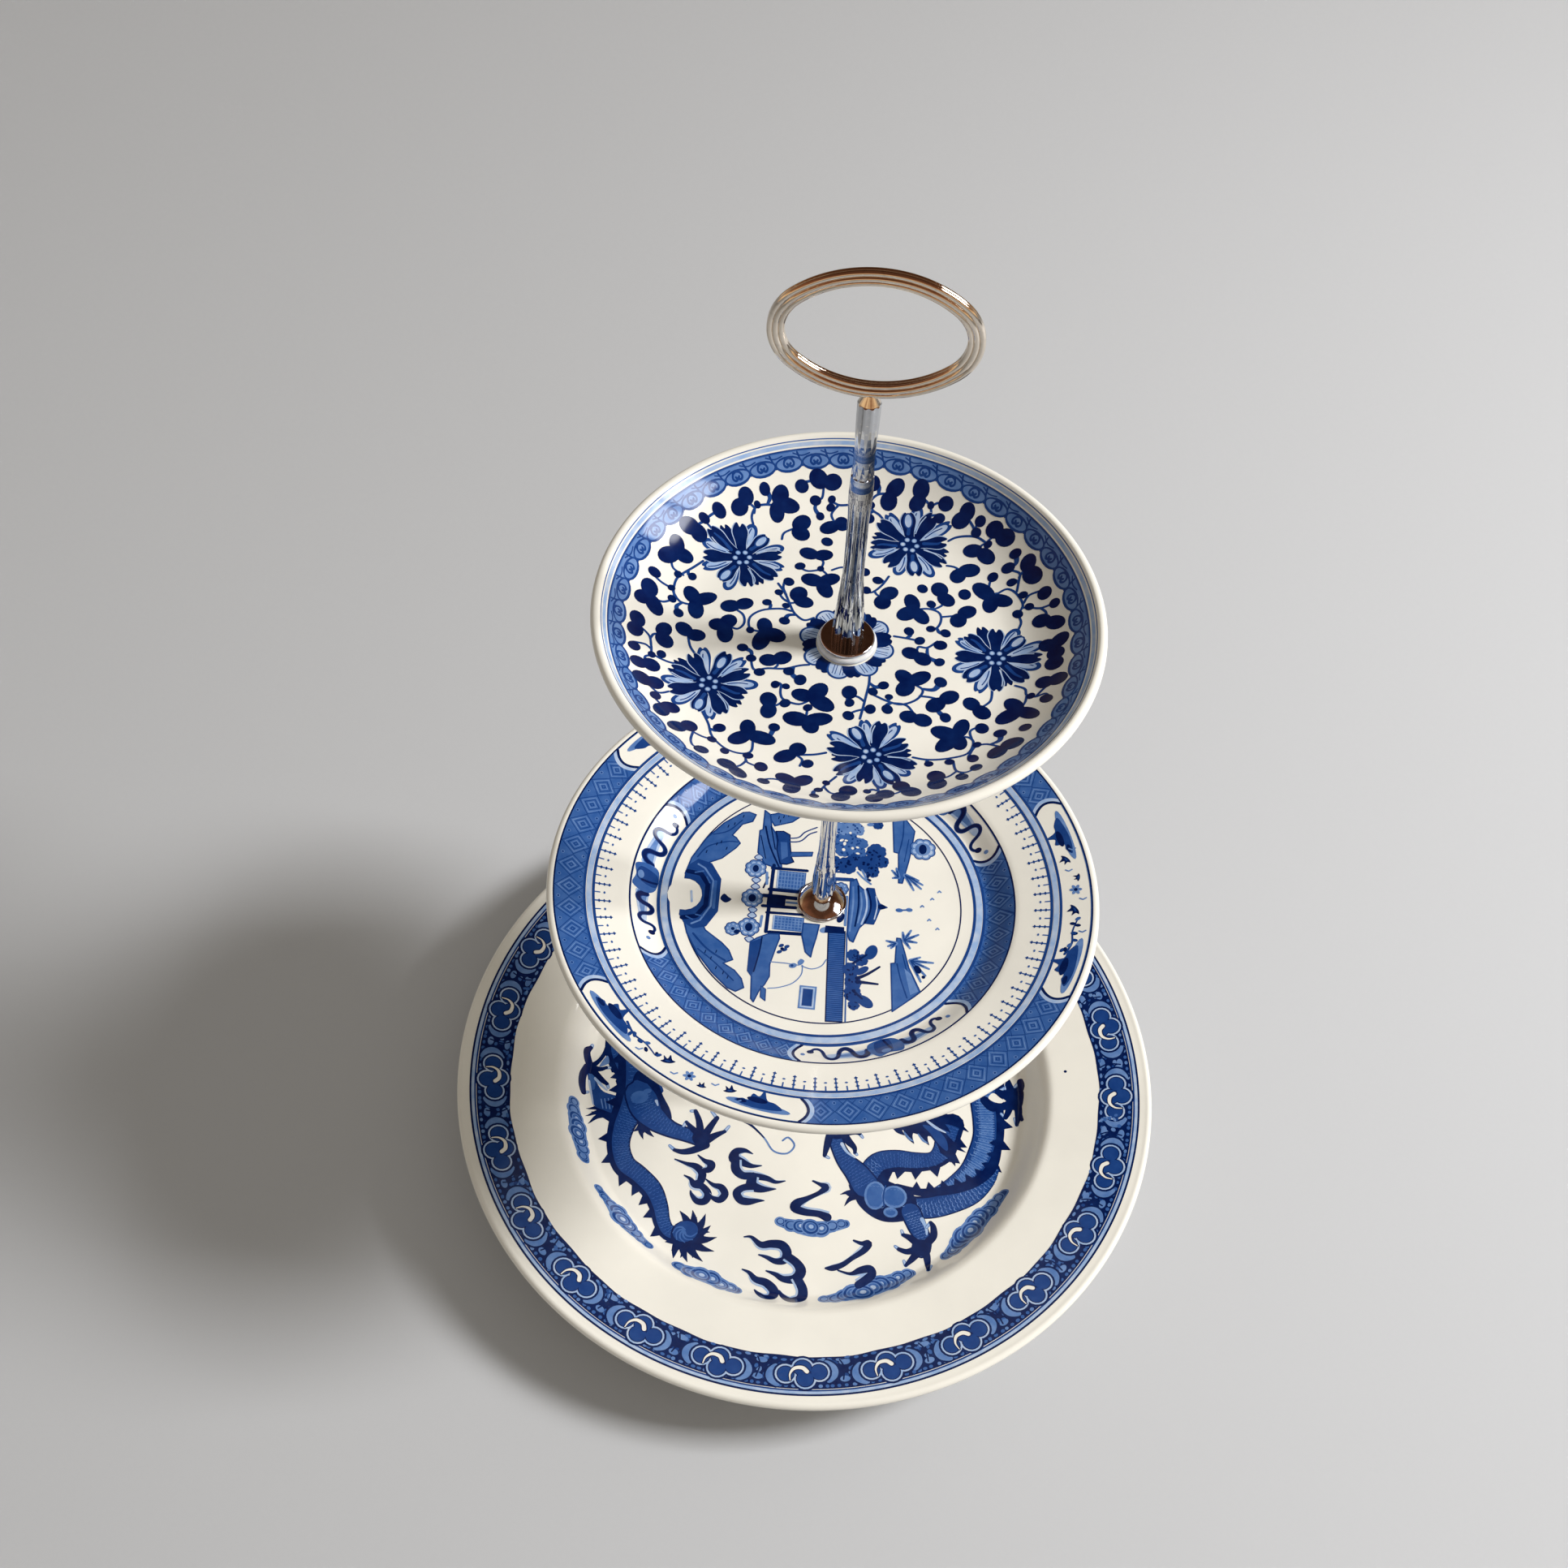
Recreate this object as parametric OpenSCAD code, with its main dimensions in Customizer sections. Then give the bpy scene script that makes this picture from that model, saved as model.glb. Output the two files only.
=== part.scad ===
// Three-tier cake stand: three porcelain plates on a screwed column of fluted
// rods, with clamping discs and washers at each plate and an oval ring handle.
// Millimetres, +Z up. The origin is the centre of the lowest foot ring, on the
// surface that the stand rests on. The ring handle lies in the XZ plane.

/* [Lower plate] */
// Rim diameter of the lower plate
lower_plate_d = 254; // [230:1:300]
// Height of the lower rim above the floor of its well
lower_depth = 18; // [13:0.5:26]
// Diameter of the flat floor of the lower well
lower_well_d = 160; // [130:1:176]
// Width of the curved wall between the lower well and its rim
lower_wall_run = 12; // [8:0.5:18]
// Rise of that wall
lower_wall_h = 9; // [5:0.5:11]
// Height of the lower foot ring below the floor's underside
lower_foot_h = 5; // [4.6:0.1:9]

/* [Middle plate] */
// Rim diameter of the middle plate
middle_plate_d = 176; // [155:1:220]
// Height of the middle rim above the floor of its well
middle_depth = 11.8; // [9:0.1:18]
// Diameter of the flat floor of the middle well
middle_well_d = 107; // [90:1:118]
// Width of the curved wall between the middle well and its rim
middle_wall_run = 10; // [7:0.5:16]
// Rise of that wall
middle_wall_h = 3.2; // [2:0.1:6]

/* [Upper plate] */
// Rim diameter of the upper plate
upper_plate_d = 138; // [115:1:170]
// Height of the upper rim above the floor of its well
upper_depth = 13.9; // [9:0.1:20]
// Diameter of the flat floor of the upper well
upper_well_d = 74; // [56:1:90]
// Exponent of the coupe curve, higher for a later and steeper wall
upper_curve = 2.35; // [1.8:0.05:2.8]

/* [Every plate] */
// Thickness of a plate's floor at its centre
floor_t = 4; // [3:0.1:6]
// Thickness of a plate's wall and rim
skin_t = 3.2; // [2.4:0.1:4]
// Radius of a plate's rounded lip
lip_r = 1.5; // [1:0.1:1.8]
// Width of a foot ring where it meets the surface
foot_w = 2.6; // [1.6:0.1:4]
// Height of the foot rings of the middle and the upper plate
small_foot_h = 3; // [2.4:0.1:5]
// Diameter of the drilled hole in each plate
plate_hole_d = 6; // [5:0.1:8]

/* [Column] */
// Length of the lower and the middle rod
rod_l = 117.6; // [96:0.1:160]
// Diameter of those rods at the widest part of the bell
bell_d = 7.7; // [7.2:0.1:10]
// Height of the bell, from the neck to the slender shaft
bell_h = 26; // [14:0.5:30]
// Diameter of the neck below the bell
rod_neck_d = 5.6; // [5.4:0.1:7]
// Height of that neck
rod_neck_h = 3.4; // [2:0.1:6]
// Diameter of the slender shaft
shaft_d = 5; // [4.8:0.1:6.4]
// Diameter of the top of those rods
rod_top_d = 7.2; // [6.4:0.1:9]
// Length over which the shaft flares to that top
flare_h = 24; // [14:0.5:30]
// Length of the upper rod
upper_rod_l = 84; // [78:0.5:130]
// Diameter of the foot of the upper rod
upper_base_d = 8.6; // [7.4:0.1:11]
// Height of the upper rod's fluted foot
upper_bell_h = 28.5; // [18:0.5:36]
// Diameter of the upper rod's shaft
upper_shaft_d = 5.5; // [4.9:0.1:6.8]
// Height of the knop on the upper rod
upper_knop_z = 54; // [50:0.5:60]
// Diameter of the top of the upper rod
upper_top_d = 5.8; // [5.4:0.1:7]
// Diameter of the knop, the smooth swelling on every rod
knop_d = 6.2; // [5.8:0.1:8]
// Length of the knop to each side of its middle
knop_run = 12; // [7:0.5:13]
// Number of flutes round a rod
flutes = 10; // [8:1:12]
// Depth of the flutes
flute_depth = 0.38; // [0.14:0.02:0.44]
// Nominal thread diameter of the screw and the studs
thread_d = 4; // [3:0.1:4.2]
// Length of thread held in a rod
thread_grip = 8; // [6:0.5:12]

/* [Clamping pieces] */
// Diameter of the domed caps on the lower and the middle plate
cap_d = 16; // [15:0.5:22]
// Height of the domed caps
cap_h = 3.4; // [2.6:0.1:5]
// Diameter of the flat disc under the upper rod
disc_d = 15; // [12:0.5:22]
// Thickness of every metal disc
disc_t = 1.2; // [0.8:0.1:1.8]
// Diameter of the plastic pad below that disc
pad_d = 16.4; // [13:0.1:24]
// Thickness of that pad
pad_t = 1.9; // [1:0.1:3]
// Diameter of the plastic washers hidden by the caps
cap_washer_d = 12; // [9:0.5:12.5]
// Thickness of the plastic washers
washer_t = 1; // [0.6:0.1:1.4]
// Diameter of the metal discs below the plates
under_disc_d = 16; // [12:0.5:24]
// Width of the plastic washers that show round those discs
under_washer_edge = 0.5; // [0.2:0.1:2]
// Diameter of the head of the base screw
screw_head_d = 10; // [8:0.5:14]
// Thickness of the head of the base screw
screw_head_h = 2; // [1.4:0.1:2.2]
// Width of the slot in that head
screw_slot_w = 1.4; // [0.8:0.1:2]

/* [Ring handle] */
// Width of the oval over its outer edges
ring_w = 50.4; // [43:0.1:70]
// Height of the oval over its outer edges
ring_h = 37; // [34:0.1:41]
// Radius of the tight ends of the oval, at the middle bead
ring_end_r = 12.4; // [10:0.1:13.5]
// Width of the reeded band, across its three beads
band_w = 4.2; // [3.8:0.1:5]
// Thickness of the band at its middle bead
band_t = 3; // [2.6:0.1:3.6]
// Diameter of each bead
bead_d = 1.6; // [1.5:0.05:1.75]
// How far the outer beads stand back from the middle one
bead_step = 0.25; // [0:0.05:0.4]
// Height of the collar between the upper rod and the ring
collar_h = 1.6; // [1:0.1:4]
// Diameter of that collar where it meets the rod
collar_d = 5.4; // [4.6:0.1:7]

/* [Hidden] */
$fn = 96;

// Clearances
bore_clear = 0.05;      // radial, between a thread and its tapped bore
pass_clear = 0.25;      // radial, between a stud and a piece it passes
end_clear = 1;          // beyond the end of a stud in its bore
cap_lift = 0.2;         // between a cap's edge and the plate
run_out = 1;            // how far a cutter overshoots a face

stud_bore_d = thread_d + 2 * bore_clear;
pass_bore_d = thread_d + 2 * pass_clear;
pin_d = thread_d / 2;   // plain end of the handle's stud
pin_l = collar_h + 0.6 * band_w;
under_stack = disc_t + washer_t;

// Heights of the column, from the surface up
lower_floor_z = lower_foot_h + floor_t;
pitch = cap_h + rod_l + under_stack + floor_t;
middle_floor_z = lower_floor_z + pitch;
upper_floor_z = middle_floor_z + pitch;
upper_rod_z = upper_floor_z + pad_t + disc_t;
collar_z = upper_rod_z + upper_rod_l;
ring_z = collar_z + collar_h + ring_h / 2;

// Eases from 0 to 1 with level ends
function ease(t) = let (c = min(max(t, 0), 1)) c * c * (3 - 2 * c);
// Where x lies between a and b, from 0 to 1
function share(x, a, b) = min(max((x - a) / (b - a), 0), 1);
// n + 1 numbers from a to b
function steps(a, b, n) = [for (i = [0:n]) a + (b - a) * i / n];
function arc(cx, cy, r, a, b, n) = [for (t = steps(a, b, n)) [cx + r * cos(t), cy + r * sin(t)]];

// A solid turned from an outline of [radius, height] points, closed on the axis
module turned(outline) {
    last = outline[len(outline) - 1];
    rotate_extrude() polygon(concat([[0, outline[0][1]]], outline, [[0, last[1]]]));
}

// ---- Plates -------------------------------------------------------------

// The lip is a round bead. It takes over from the upper face 30 degrees inside its crown.
lip_start = 120;
function lip_join_r(d) = d / 2 - lip_r * (1 - cos(lip_start));
function lip_join_z(depth) = depth - lip_r * (1 - sin(lip_start));

// Height of the upper face over the floor of the well, at radius r
function rimmed_face(r, d, depth, well_d, run, wall_h) =
    wall_h * ease((r - well_d / 2) / run)
    + (lip_join_z(depth) - wall_h) * share(r, well_d / 2, lip_join_r(d));
function coupe_face(r, d, depth, well_d) =
    lip_join_z(depth) * pow(share(r, well_d / 2, lip_join_r(d)), upper_curve);

// A plate turned round its hole: upper face, lip, underside and foot ring.
// face gives the height of the upper face at a radius.
module plate(face, d, depth, well_d, foot_h) {
    skin_shift = 0.8 * skin_t;
    foot_r = well_d / 2 - 1;
    foot_in = foot_r - 0.9 - foot_w;
    foot_z = -floor_t - foot_h;
    top = [for (r = steps(well_d / 2, lip_join_r(d), 26)) [r, face(r)]];
    lip = arc(d / 2 - lip_r, depth - lip_r, lip_r, lip_start - 12, -90, 9);
    back = [for (r = steps(d / 2 - 3 * lip_r, foot_r + 2, 16)) [r, face(r - skin_shift) - skin_t]];
    foot = [[foot_r, -floor_t], [foot_r - 0.4, foot_z + 0.5], [foot_r - 0.9, foot_z],
            [foot_in, foot_z], [foot_in - 0.7, foot_z + 0.7], [foot_in - 1.5, -floor_t]];
    rotate_extrude()
        polygon(concat([[plate_hole_d / 2, 0]], top, lip, back, foot, [[plate_hole_d / 2, -floor_t]]));
}

module lower_plate() color("ivory") translate([0, 0, lower_floor_z])
    plate(function (r) rimmed_face(r, lower_plate_d, lower_depth, lower_well_d,
                                   lower_wall_run, lower_wall_h),
          lower_plate_d, lower_depth, lower_well_d, lower_foot_h);

module middle_plate() color("ivory") translate([0, 0, middle_floor_z])
    plate(function (r) rimmed_face(r, middle_plate_d, middle_depth, middle_well_d,
                                   middle_wall_run, middle_wall_h),
          middle_plate_d, middle_depth, middle_well_d, small_foot_h);

module upper_plate() color("ivory") translate([0, 0, upper_floor_z])
    plate(function (r) coupe_face(r, upper_plate_d, upper_depth, upper_well_d),
          upper_plate_d, upper_depth, upper_well_d, small_foot_h);

// ---- Rods ---------------------------------------------------------------

// Outline through [height, radius] stations, eased from each one to the next
function eased_outline(s, n) = concat([[s[0][1], s[0][0]]],
    [for (i = [1:len(s) - 1], k = [1:n])
        [s[i - 1][1] + (s[i][1] - s[i - 1][1]) * ease(k / n),
         s[i - 1][0] + (s[i][0] - s[i - 1][0]) * k / n]]);

// A ring of flutes between two [height, radius] points of a rod, cut by leaning
// cones. in_a and in_b are the depths of cut at the two points.
module flute_ring(a, b, in_a, in_b) {
    cone_a = 2.1 * a[1] * sin(180 / flutes);
    cone_b = 2.1 * b[1] * sin(180 / flutes);
    axis_a = a[1] + cone_a - in_a;
    axis_b = b[1] + cone_b - in_b;
    rise = b[0] - a[0];
    for (i = [0:flutes - 1]) rotate(360 * (i + 0.5) / flutes)
        translate([axis_a, 0, a[0]]) rotate([0, atan2(axis_b - axis_a, rise), 0])
            cylinder(h = norm([axis_b - axis_a, rise]), r1 = cone_a, r2 = cone_b);
}

// The tapped bores in the two ends of a rod of length l
module tapped_ends(l) for (z = [-run_out, l - thread_grip - end_clear])
    translate([0, 0, z]) cylinder(h = thread_grip + end_clear + run_out, d = stud_bore_d);

// The lower and the middle rod: neck, fluted bell, shaft, knop and fluted flare
module column_rod() {
    bell_z = rod_neck_h + 1;
    bell_top = bell_z + bell_h;
    knop_z = rod_l / 2;
    flare_z = rod_l - flare_h;
    fade = knop_run / 2;
    difference() {
        turned(concat(
            [[rod_neck_d / 2, 0], [rod_neck_d / 2, rod_neck_h]],
            eased_outline([[bell_z, bell_d / 2], [bell_top, shaft_d / 2],
                           [knop_z - knop_run, shaft_d / 2], [knop_z, knop_d / 2],
                           [knop_z + knop_run, shaft_d / 2], [flare_z, shaft_d / 2],
                           [rod_l - 2, rod_top_d / 2]], 5),
            [[rod_top_d / 2, rod_l - 0.5], [rod_top_d / 2 - 0.3, rod_l]]));
        flute_ring([rod_neck_h - run_out, bell_d / 2], [bell_top + fade, shaft_d / 2], flute_depth, 0.05);
        flute_ring([flare_z - fade, shaft_d / 2], [rod_l + run_out, rod_top_d / 2], 0.05, flute_depth);
        tapped_ends(rod_l);
    }
}

module lower_rod() color("silver") translate([0, 0, lower_floor_z + cap_h]) column_rod();
module middle_rod() color("silver") translate([0, 0, middle_floor_z + cap_h]) column_rod();

// The upper rod stands on its fluted foot and carries the handle
module upper_rod() color("silver") translate([0, 0, upper_rod_z]) difference() {
    neck_r = upper_shaft_d / 2 - 0.1;
    neck_z = upper_knop_z + knop_run;
    turned(concat(
        eased_outline([[0, upper_base_d / 2], [upper_bell_h, upper_shaft_d / 2],
                       [upper_knop_z - knop_run, upper_shaft_d / 2], [upper_knop_z, knop_d / 2],
                       [neck_z, neck_r], [upper_rod_l - 2, upper_top_d / 2]], 6),
        [[upper_top_d / 2, upper_rod_l - 0.4], [upper_top_d / 2 - 0.3, upper_rod_l]]));
    flute_ring([-run_out, upper_base_d / 2], [upper_knop_z - knop_run, upper_shaft_d / 2],
               flute_depth, 0.05);
    flute_ring([neck_z - knop_run / 2, neck_r], [upper_rod_l + run_out, upper_top_d / 2],
               0, flute_depth / 2);
    tapped_ends(upper_rod_l);
}

// ---- Screw and studs ----------------------------------------------------

// A threaded length from z = a to z = b with chamfered ends
module thread(a, b) {
    r = thread_d / 2;
    turned([[r - 0.5, a], [r, a + 0.5], [r, b - 0.5], [r - 0.5, b]]);
}

// The base screw: slotted pan head under the lower disc, shank up into the lower rod
module base_screw() color("silver") {
    head_z = lower_foot_h - under_stack - screw_head_h;
    difference() {
        union() {
            turned([[screw_head_d / 2 - 1.2, head_z], [screw_head_d / 2 - 0.4, head_z + 0.4],
                    [screw_head_d / 2, head_z + 1.2], [screw_head_d / 2, head_z + screw_head_h]]);
            thread(head_z + screw_head_h - 0.6, lower_floor_z + cap_h + thread_grip);
        }
        translate([-screw_head_d, -screw_slot_w / 2, head_z - run_out])
            cube([2 * screw_head_d, screw_slot_w, 0.55 * screw_head_h + run_out]);
    }
}

// A stud holds the rods below and above a plate together
module middle_stud() color("gray")
    thread(middle_floor_z - floor_t - under_stack - thread_grip, middle_floor_z + cap_h + thread_grip);
module upper_stud() color("gray")
    thread(upper_floor_z - floor_t - under_stack - thread_grip, upper_rod_z + thread_grip);

// The handle's stud: threaded in the rod, with a plain pin fast in the ring
module handle_stud() color("gray") {
    thread(collar_z - thread_grip, collar_z);
    translate([0, 0, collar_z - 0.5]) cylinder(h = pin_l + 0.5, d = pin_d);
}

// ---- Clamping pieces ----------------------------------------------------

// A flat disc with a round edge, standing on z = 0
module disc(d, t) rotate_extrude() {
    translate([pass_bore_d / 2, 0]) square([(d - t - pass_bore_d) / 2, t]);
    translate([(d - t) / 2, t / 2]) circle(d = t);
}

// A domed cap, hollow below for its washer, with a rolled edge
module domed_cap() {
    edge_d = 0.9;
    seat_r = rod_neck_d / 2 + 0.2;
    dome_r = (cap_d - edge_d) / 2;
    dome_z = cap_lift + edge_d / 2;
    // Centre of the circle through the dome's edge and the seat of the rod
    centre_z = (dome_r * dome_r + dome_z * dome_z - seat_r * seat_r - cap_h * cap_h)
               / (2 * (dome_z - cap_h));
    rotate_extrude() difference() {
        union() {
            intersection() {
                translate([0, centre_z]) circle(r = norm([dome_r, dome_z - centre_z]));
                translate([0, dome_z]) square([dome_r, cap_h - dome_z]);
            }
            translate([dome_r, dome_z]) circle(d = edge_d);
            translate([0, cap_lift]) square([dome_r, edge_d / 2]);
        }
        square([pass_bore_d / 2, cap_h + run_out]);
        square([cap_washer_d / 2 + 0.3, washer_t]);
    }
}

module lower_domed_cap() color("silver") translate([0, 0, lower_floor_z]) domed_cap();
module middle_domed_cap() color("silver") translate([0, 0, middle_floor_z]) domed_cap();
module upper_disc() color("silver") translate([0, 0, upper_floor_z + pad_t]) disc(disc_d, disc_t);

module lower_top_washer() color("white") translate([0, 0, lower_floor_z]) disc(cap_washer_d, washer_t);
module middle_top_washer() color("white") translate([0, 0, middle_floor_z]) disc(cap_washer_d, washer_t);
module upper_pad() color("white") translate([0, 0, upper_floor_z]) disc(pad_d, pad_t);

// Below each plate: a plastic washer, then a metal disc
module under_washer(floor_z) translate([0, 0, floor_z - floor_t - washer_t])
    disc(under_disc_d + 2 * under_washer_edge, washer_t);
module under_disc(floor_z) translate([0, 0, floor_z - floor_t - under_stack]) disc(under_disc_d, disc_t);

module lower_under_washer() color("white") under_washer(lower_floor_z);
module middle_under_washer() color("white") under_washer(middle_floor_z);
module upper_under_washer() color("white") under_washer(upper_floor_z);
module lower_under_disc() color("silver") under_disc(lower_floor_z);
module middle_under_disc() color("silver") under_disc(middle_floor_z);
module upper_under_disc() color("silver") under_disc(upper_floor_z);

// ---- Ring handle --------------------------------------------------------

// Section of the band, x outwards: three beads on each face over a flat core
module band_section() {
    side_x = (band_w - bead_d) / 2;
    middle_y = (band_t - bead_d) / 2;
    side_y = middle_y - bead_step;
    for (s = [-1, 1]) {
        translate([0, s * middle_y]) circle(d = bead_d);
        for (x = [-side_x, side_x]) translate([x, s * side_y]) circle(d = bead_d);
    }
    square([2 * side_x, 2 * middle_y], center = true);
}

// Sweeps a section round an oval of four arcs with semi-axes a and b
module oval_sweep(a, b, end_r) {
    side_r = ((a - end_r) * (a - end_r) + b * b - end_r * end_r) / (2 * (b - end_r));
    join = atan2(side_r - b, a - end_r);
    for (turn = [0, 180]) rotate(turn) {
        translate([a - end_r, 0]) rotate(-join) rotate_extrude(angle = 2 * join)
            translate([end_r, 0]) children();
        translate([0, b - side_r]) rotate(join) rotate_extrude(angle = 180 - 2 * join)
            translate([side_r, 0]) children();
    }
}

module ring_handle() color("silver") difference() {
    union() {
        translate([0, 0, ring_z]) rotate([90, 0, 0])
            oval_sweep((ring_w - band_w) / 2, (ring_h - band_w) / 2, ring_end_r) band_section();
        translate([0, 0, collar_z])
            cylinder(h = collar_h + bead_d / 2, d1 = collar_d, d2 = 0.9 * band_t);
    }
    translate([0, 0, collar_z - run_out])
        cylinder(h = pin_l + run_out + bore_clear, d = pin_d + 2 * bore_clear);
}

lower_plate();
middle_plate();
upper_plate();
lower_rod();
middle_rod();
upper_rod();
base_screw();
middle_stud();
upper_stud();
handle_stud();
lower_domed_cap();
middle_domed_cap();
upper_disc();
lower_top_washer();
middle_top_washer();
upper_pad();
lower_under_washer();
middle_under_washer();
upper_under_washer();
lower_under_disc();
middle_under_disc();
upper_under_disc();
ring_handle();
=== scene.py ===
"""Looks of a three-tier cake stand: glazed plates with painted blue decoration on a chrome column."""

import math
import random

import bpy
from mathutils import Matrix, Vector
from mathutils.geometry import delaunay_2d_cdt


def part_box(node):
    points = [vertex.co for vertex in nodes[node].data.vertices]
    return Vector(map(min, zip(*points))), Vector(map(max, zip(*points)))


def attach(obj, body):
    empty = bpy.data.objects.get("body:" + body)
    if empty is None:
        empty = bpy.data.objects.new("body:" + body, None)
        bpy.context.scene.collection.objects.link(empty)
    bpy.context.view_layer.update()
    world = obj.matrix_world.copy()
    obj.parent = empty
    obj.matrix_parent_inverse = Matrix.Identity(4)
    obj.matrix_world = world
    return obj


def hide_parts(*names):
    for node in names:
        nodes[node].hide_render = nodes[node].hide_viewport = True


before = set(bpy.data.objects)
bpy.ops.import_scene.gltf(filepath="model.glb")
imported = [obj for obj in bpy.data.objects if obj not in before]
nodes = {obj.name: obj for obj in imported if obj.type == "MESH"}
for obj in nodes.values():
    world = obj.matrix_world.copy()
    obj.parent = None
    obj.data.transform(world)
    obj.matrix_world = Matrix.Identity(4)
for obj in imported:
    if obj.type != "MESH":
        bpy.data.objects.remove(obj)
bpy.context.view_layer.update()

MM = 0.001                     # the drawing functions work in millimetres

# ------------------------------------------------------------------ colours, linear

GLAZE = (0.92, 0.885, 0.80)
NAVY_INK = (0.0005, 0.0085, 0.068)
COBALT_INK = (0.008, 0.045, 0.205)
MID_INK = (0.030, 0.102, 0.330)
SOFT_INK = (0.088, 0.190, 0.450)
WASH_INK = (0.300, 0.440, 0.700)


# ------------------------------------------------------------------ node helpers

def plug(tree, node, inputs):
    """Puts values on a node's inputs, or links them to other nodes' outputs."""
    for key, value in inputs.items():
        if isinstance(value, bpy.types.NodeSocket):
            tree.links.new(value, node.inputs[key])
        else:
            node.inputs[key].default_value = value


def add(tree, kind, inputs=(), **settings):
    """A node of one kind, with settings on the node, and values or links on its inputs."""
    node = tree.nodes.new(kind)
    for key, value in settings.items():
        setattr(node, key, value)
    plug(tree, node, dict(inputs))
    return node


def new_material(name):
    """A node material, with its node tree and its Principled shader."""
    material = bpy.data.materials.new(name)
    material.use_nodes = True
    tree = material.node_tree
    return material, tree, tree.nodes["Principled BSDF"]


def noise(tree, scale, detail=3.0, stretch=(1, 1, 1)):
    """Noise in the object's own frame, scale in cycles per metre, squeezed along the axes by stretch."""
    place = add(tree, "ShaderNodeTexCoord").outputs["Object"]
    mapping = add(tree, "ShaderNodeMapping", {"Scale": stretch, "Vector": place})
    inputs = {"Scale": scale, "Detail": detail, "Vector": mapping.outputs["Vector"]}
    return add(tree, "ShaderNodeTexNoise", inputs).outputs["Fac"]


def ramp(tree, source, stops):
    """A colour ramp on source, with stops as (place, colour)."""
    node = add(tree, "ShaderNodeValToRGB", {"Fac": source})
    elements = node.color_ramp.elements
    while len(elements) < len(stops):
        elements.new(0.5)
    for element, (place, colour) in zip(elements, stops):
        element.position = place
        element.color = (*colour, 1)
    return node.outputs["Color"]


def greys(tree, source, dark, light, start=0.35, end=0.7):
    """A ramp on source between two greys."""
    return ramp(tree, source, [(start, (dark, dark, dark)), (end, (light, light, light))])


def bump(tree, source, distance, strength=1.0):
    """Small relief from source, distance in metres."""
    inputs = {"Strength": strength, "Distance": distance, "Height": source}
    return add(tree, "ShaderNodeBump", inputs).outputs["Normal"]


def mix(tree, share, first, second, **settings):
    """Two colours mixed by share, from first at 0 to second at 1."""
    inputs = {"Factor": share, "A": first, "B": second}
    return add(tree, "ShaderNodeMix", inputs, data_type="RGBA", **settings).outputs["Result"]


# ------------------------------------------------------------------ materials

def glass_skin(tree):
    """The shine of glaze, which drifts a little over the surface."""
    return {"Roughness": greys(tree, noise(tree, 60.0), 0.07, 0.13, 0.3), "Specular IOR Level": 0.35}


def plated(tree):
    """The shine of bright plated metal with fine wiping marks."""
    return {"Metallic": 1.0, "Roughness": greys(tree, noise(tree, 350.0, 4.0), 0.05, 0.11)}


def glaze_material():
    """Cream tableware glaze: thick and glossy, with faint pooling and pinholes."""
    material, tree, shader = new_material("cream_glaze")
    pooled = tuple(0.93 * c for c in GLAZE)
    plug(tree, shader, {
        "Base Color": ramp(tree, noise(tree, 22.0, 4.0), [(0.35, pooled), (0.62, GLAZE)]),
        "Normal": bump(tree, noise(tree, 45.0, 2.0), 0.00012, 0.6),
        **glass_skin(tree)})
    return material


def biscuit_material():
    """The bare clay of a foot ring, where the glaze was wiped off."""
    material, tree, shader = new_material("biscuit_clay")
    stops = [(0.3, (0.50, 0.42, 0.32)), (0.7, (0.72, 0.65, 0.54))]
    plug(tree, shader, {
        "Base Color": ramp(tree, noise(tree, 900.0, 5.0), stops),
        "Roughness": 0.85,
        "Normal": bump(tree, noise(tree, 1800.0, 4.0), 0.00008)})
    return material


def ink_material(name, colour, light, spread):
    """Cobalt decoration under the glaze: its density drifts from colour part of the way to light."""
    material, tree, shader = new_material(name)
    mixed = tuple(c + spread * (w - c) for c, w in zip(colour, light))
    tone = ramp(tree, noise(tree, 260.0, 4.0), [(0.35, colour), (0.75, mixed)])
    plug(tree, shader, {"Base Color": tone, **glass_skin(tree)})
    return material


def chrome_material(name, tint):
    """Bright plated metal with a little pitting."""
    material, tree, shader = new_material(name)
    worn = tuple(0.86 * c for c in tint)
    plug(tree, shader, {
        "Base Color": ramp(tree, noise(tree, 700.0, 5.0), [(0.30, worn), (0.45, tint)]),
        "Normal": bump(tree, noise(tree, 500.0), 0.000004),
        **plated(tree)})
    return material


def rod_material():
    """Bright plate, with fine drawn reeds on the lower part as bump, and dark and light streaks there
    painted into the base colour as reflections of the fluting.
    """
    material, tree, shader = new_material("reeded_chrome_painted_streaks")
    reed_relief_and_painted_streaks = noise(tree, 1500.0, 4.0, (1, 1, 0.022))
    # painted reflection: these dark and light streaks stand for the fluting's reflections; the same noise
    # also gives the reeds' bump
    painted_reflection_streaks = ramp(tree, reed_relief_and_painted_streaks, [(0.36, (0.07, 0.08, 0.10)), (0.50, (0.27, 0.29, 0.32)),
                                 (0.62, (0.70, 0.73, 0.78))])
    place = add(tree, "ShaderNodeTexCoord").outputs["Generated"]
    split = add(tree, "ShaderNodeSeparateXYZ", {"Vector": place})
    bare = add(tree, "ShaderNodeMapRange", {"From Min": 0.52, "From Max": 0.60, "Value": split.outputs["Z"]})
    plug(tree, shader, {
        "Base Color": mix(tree, bare.outputs["Result"], painted_reflection_streaks, (0.52, 0.53, 0.55, 1)),
        "Normal": bump(tree, reed_relief_and_painted_streaks, 0.000025),
        **plated(tree)})
    return material


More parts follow.
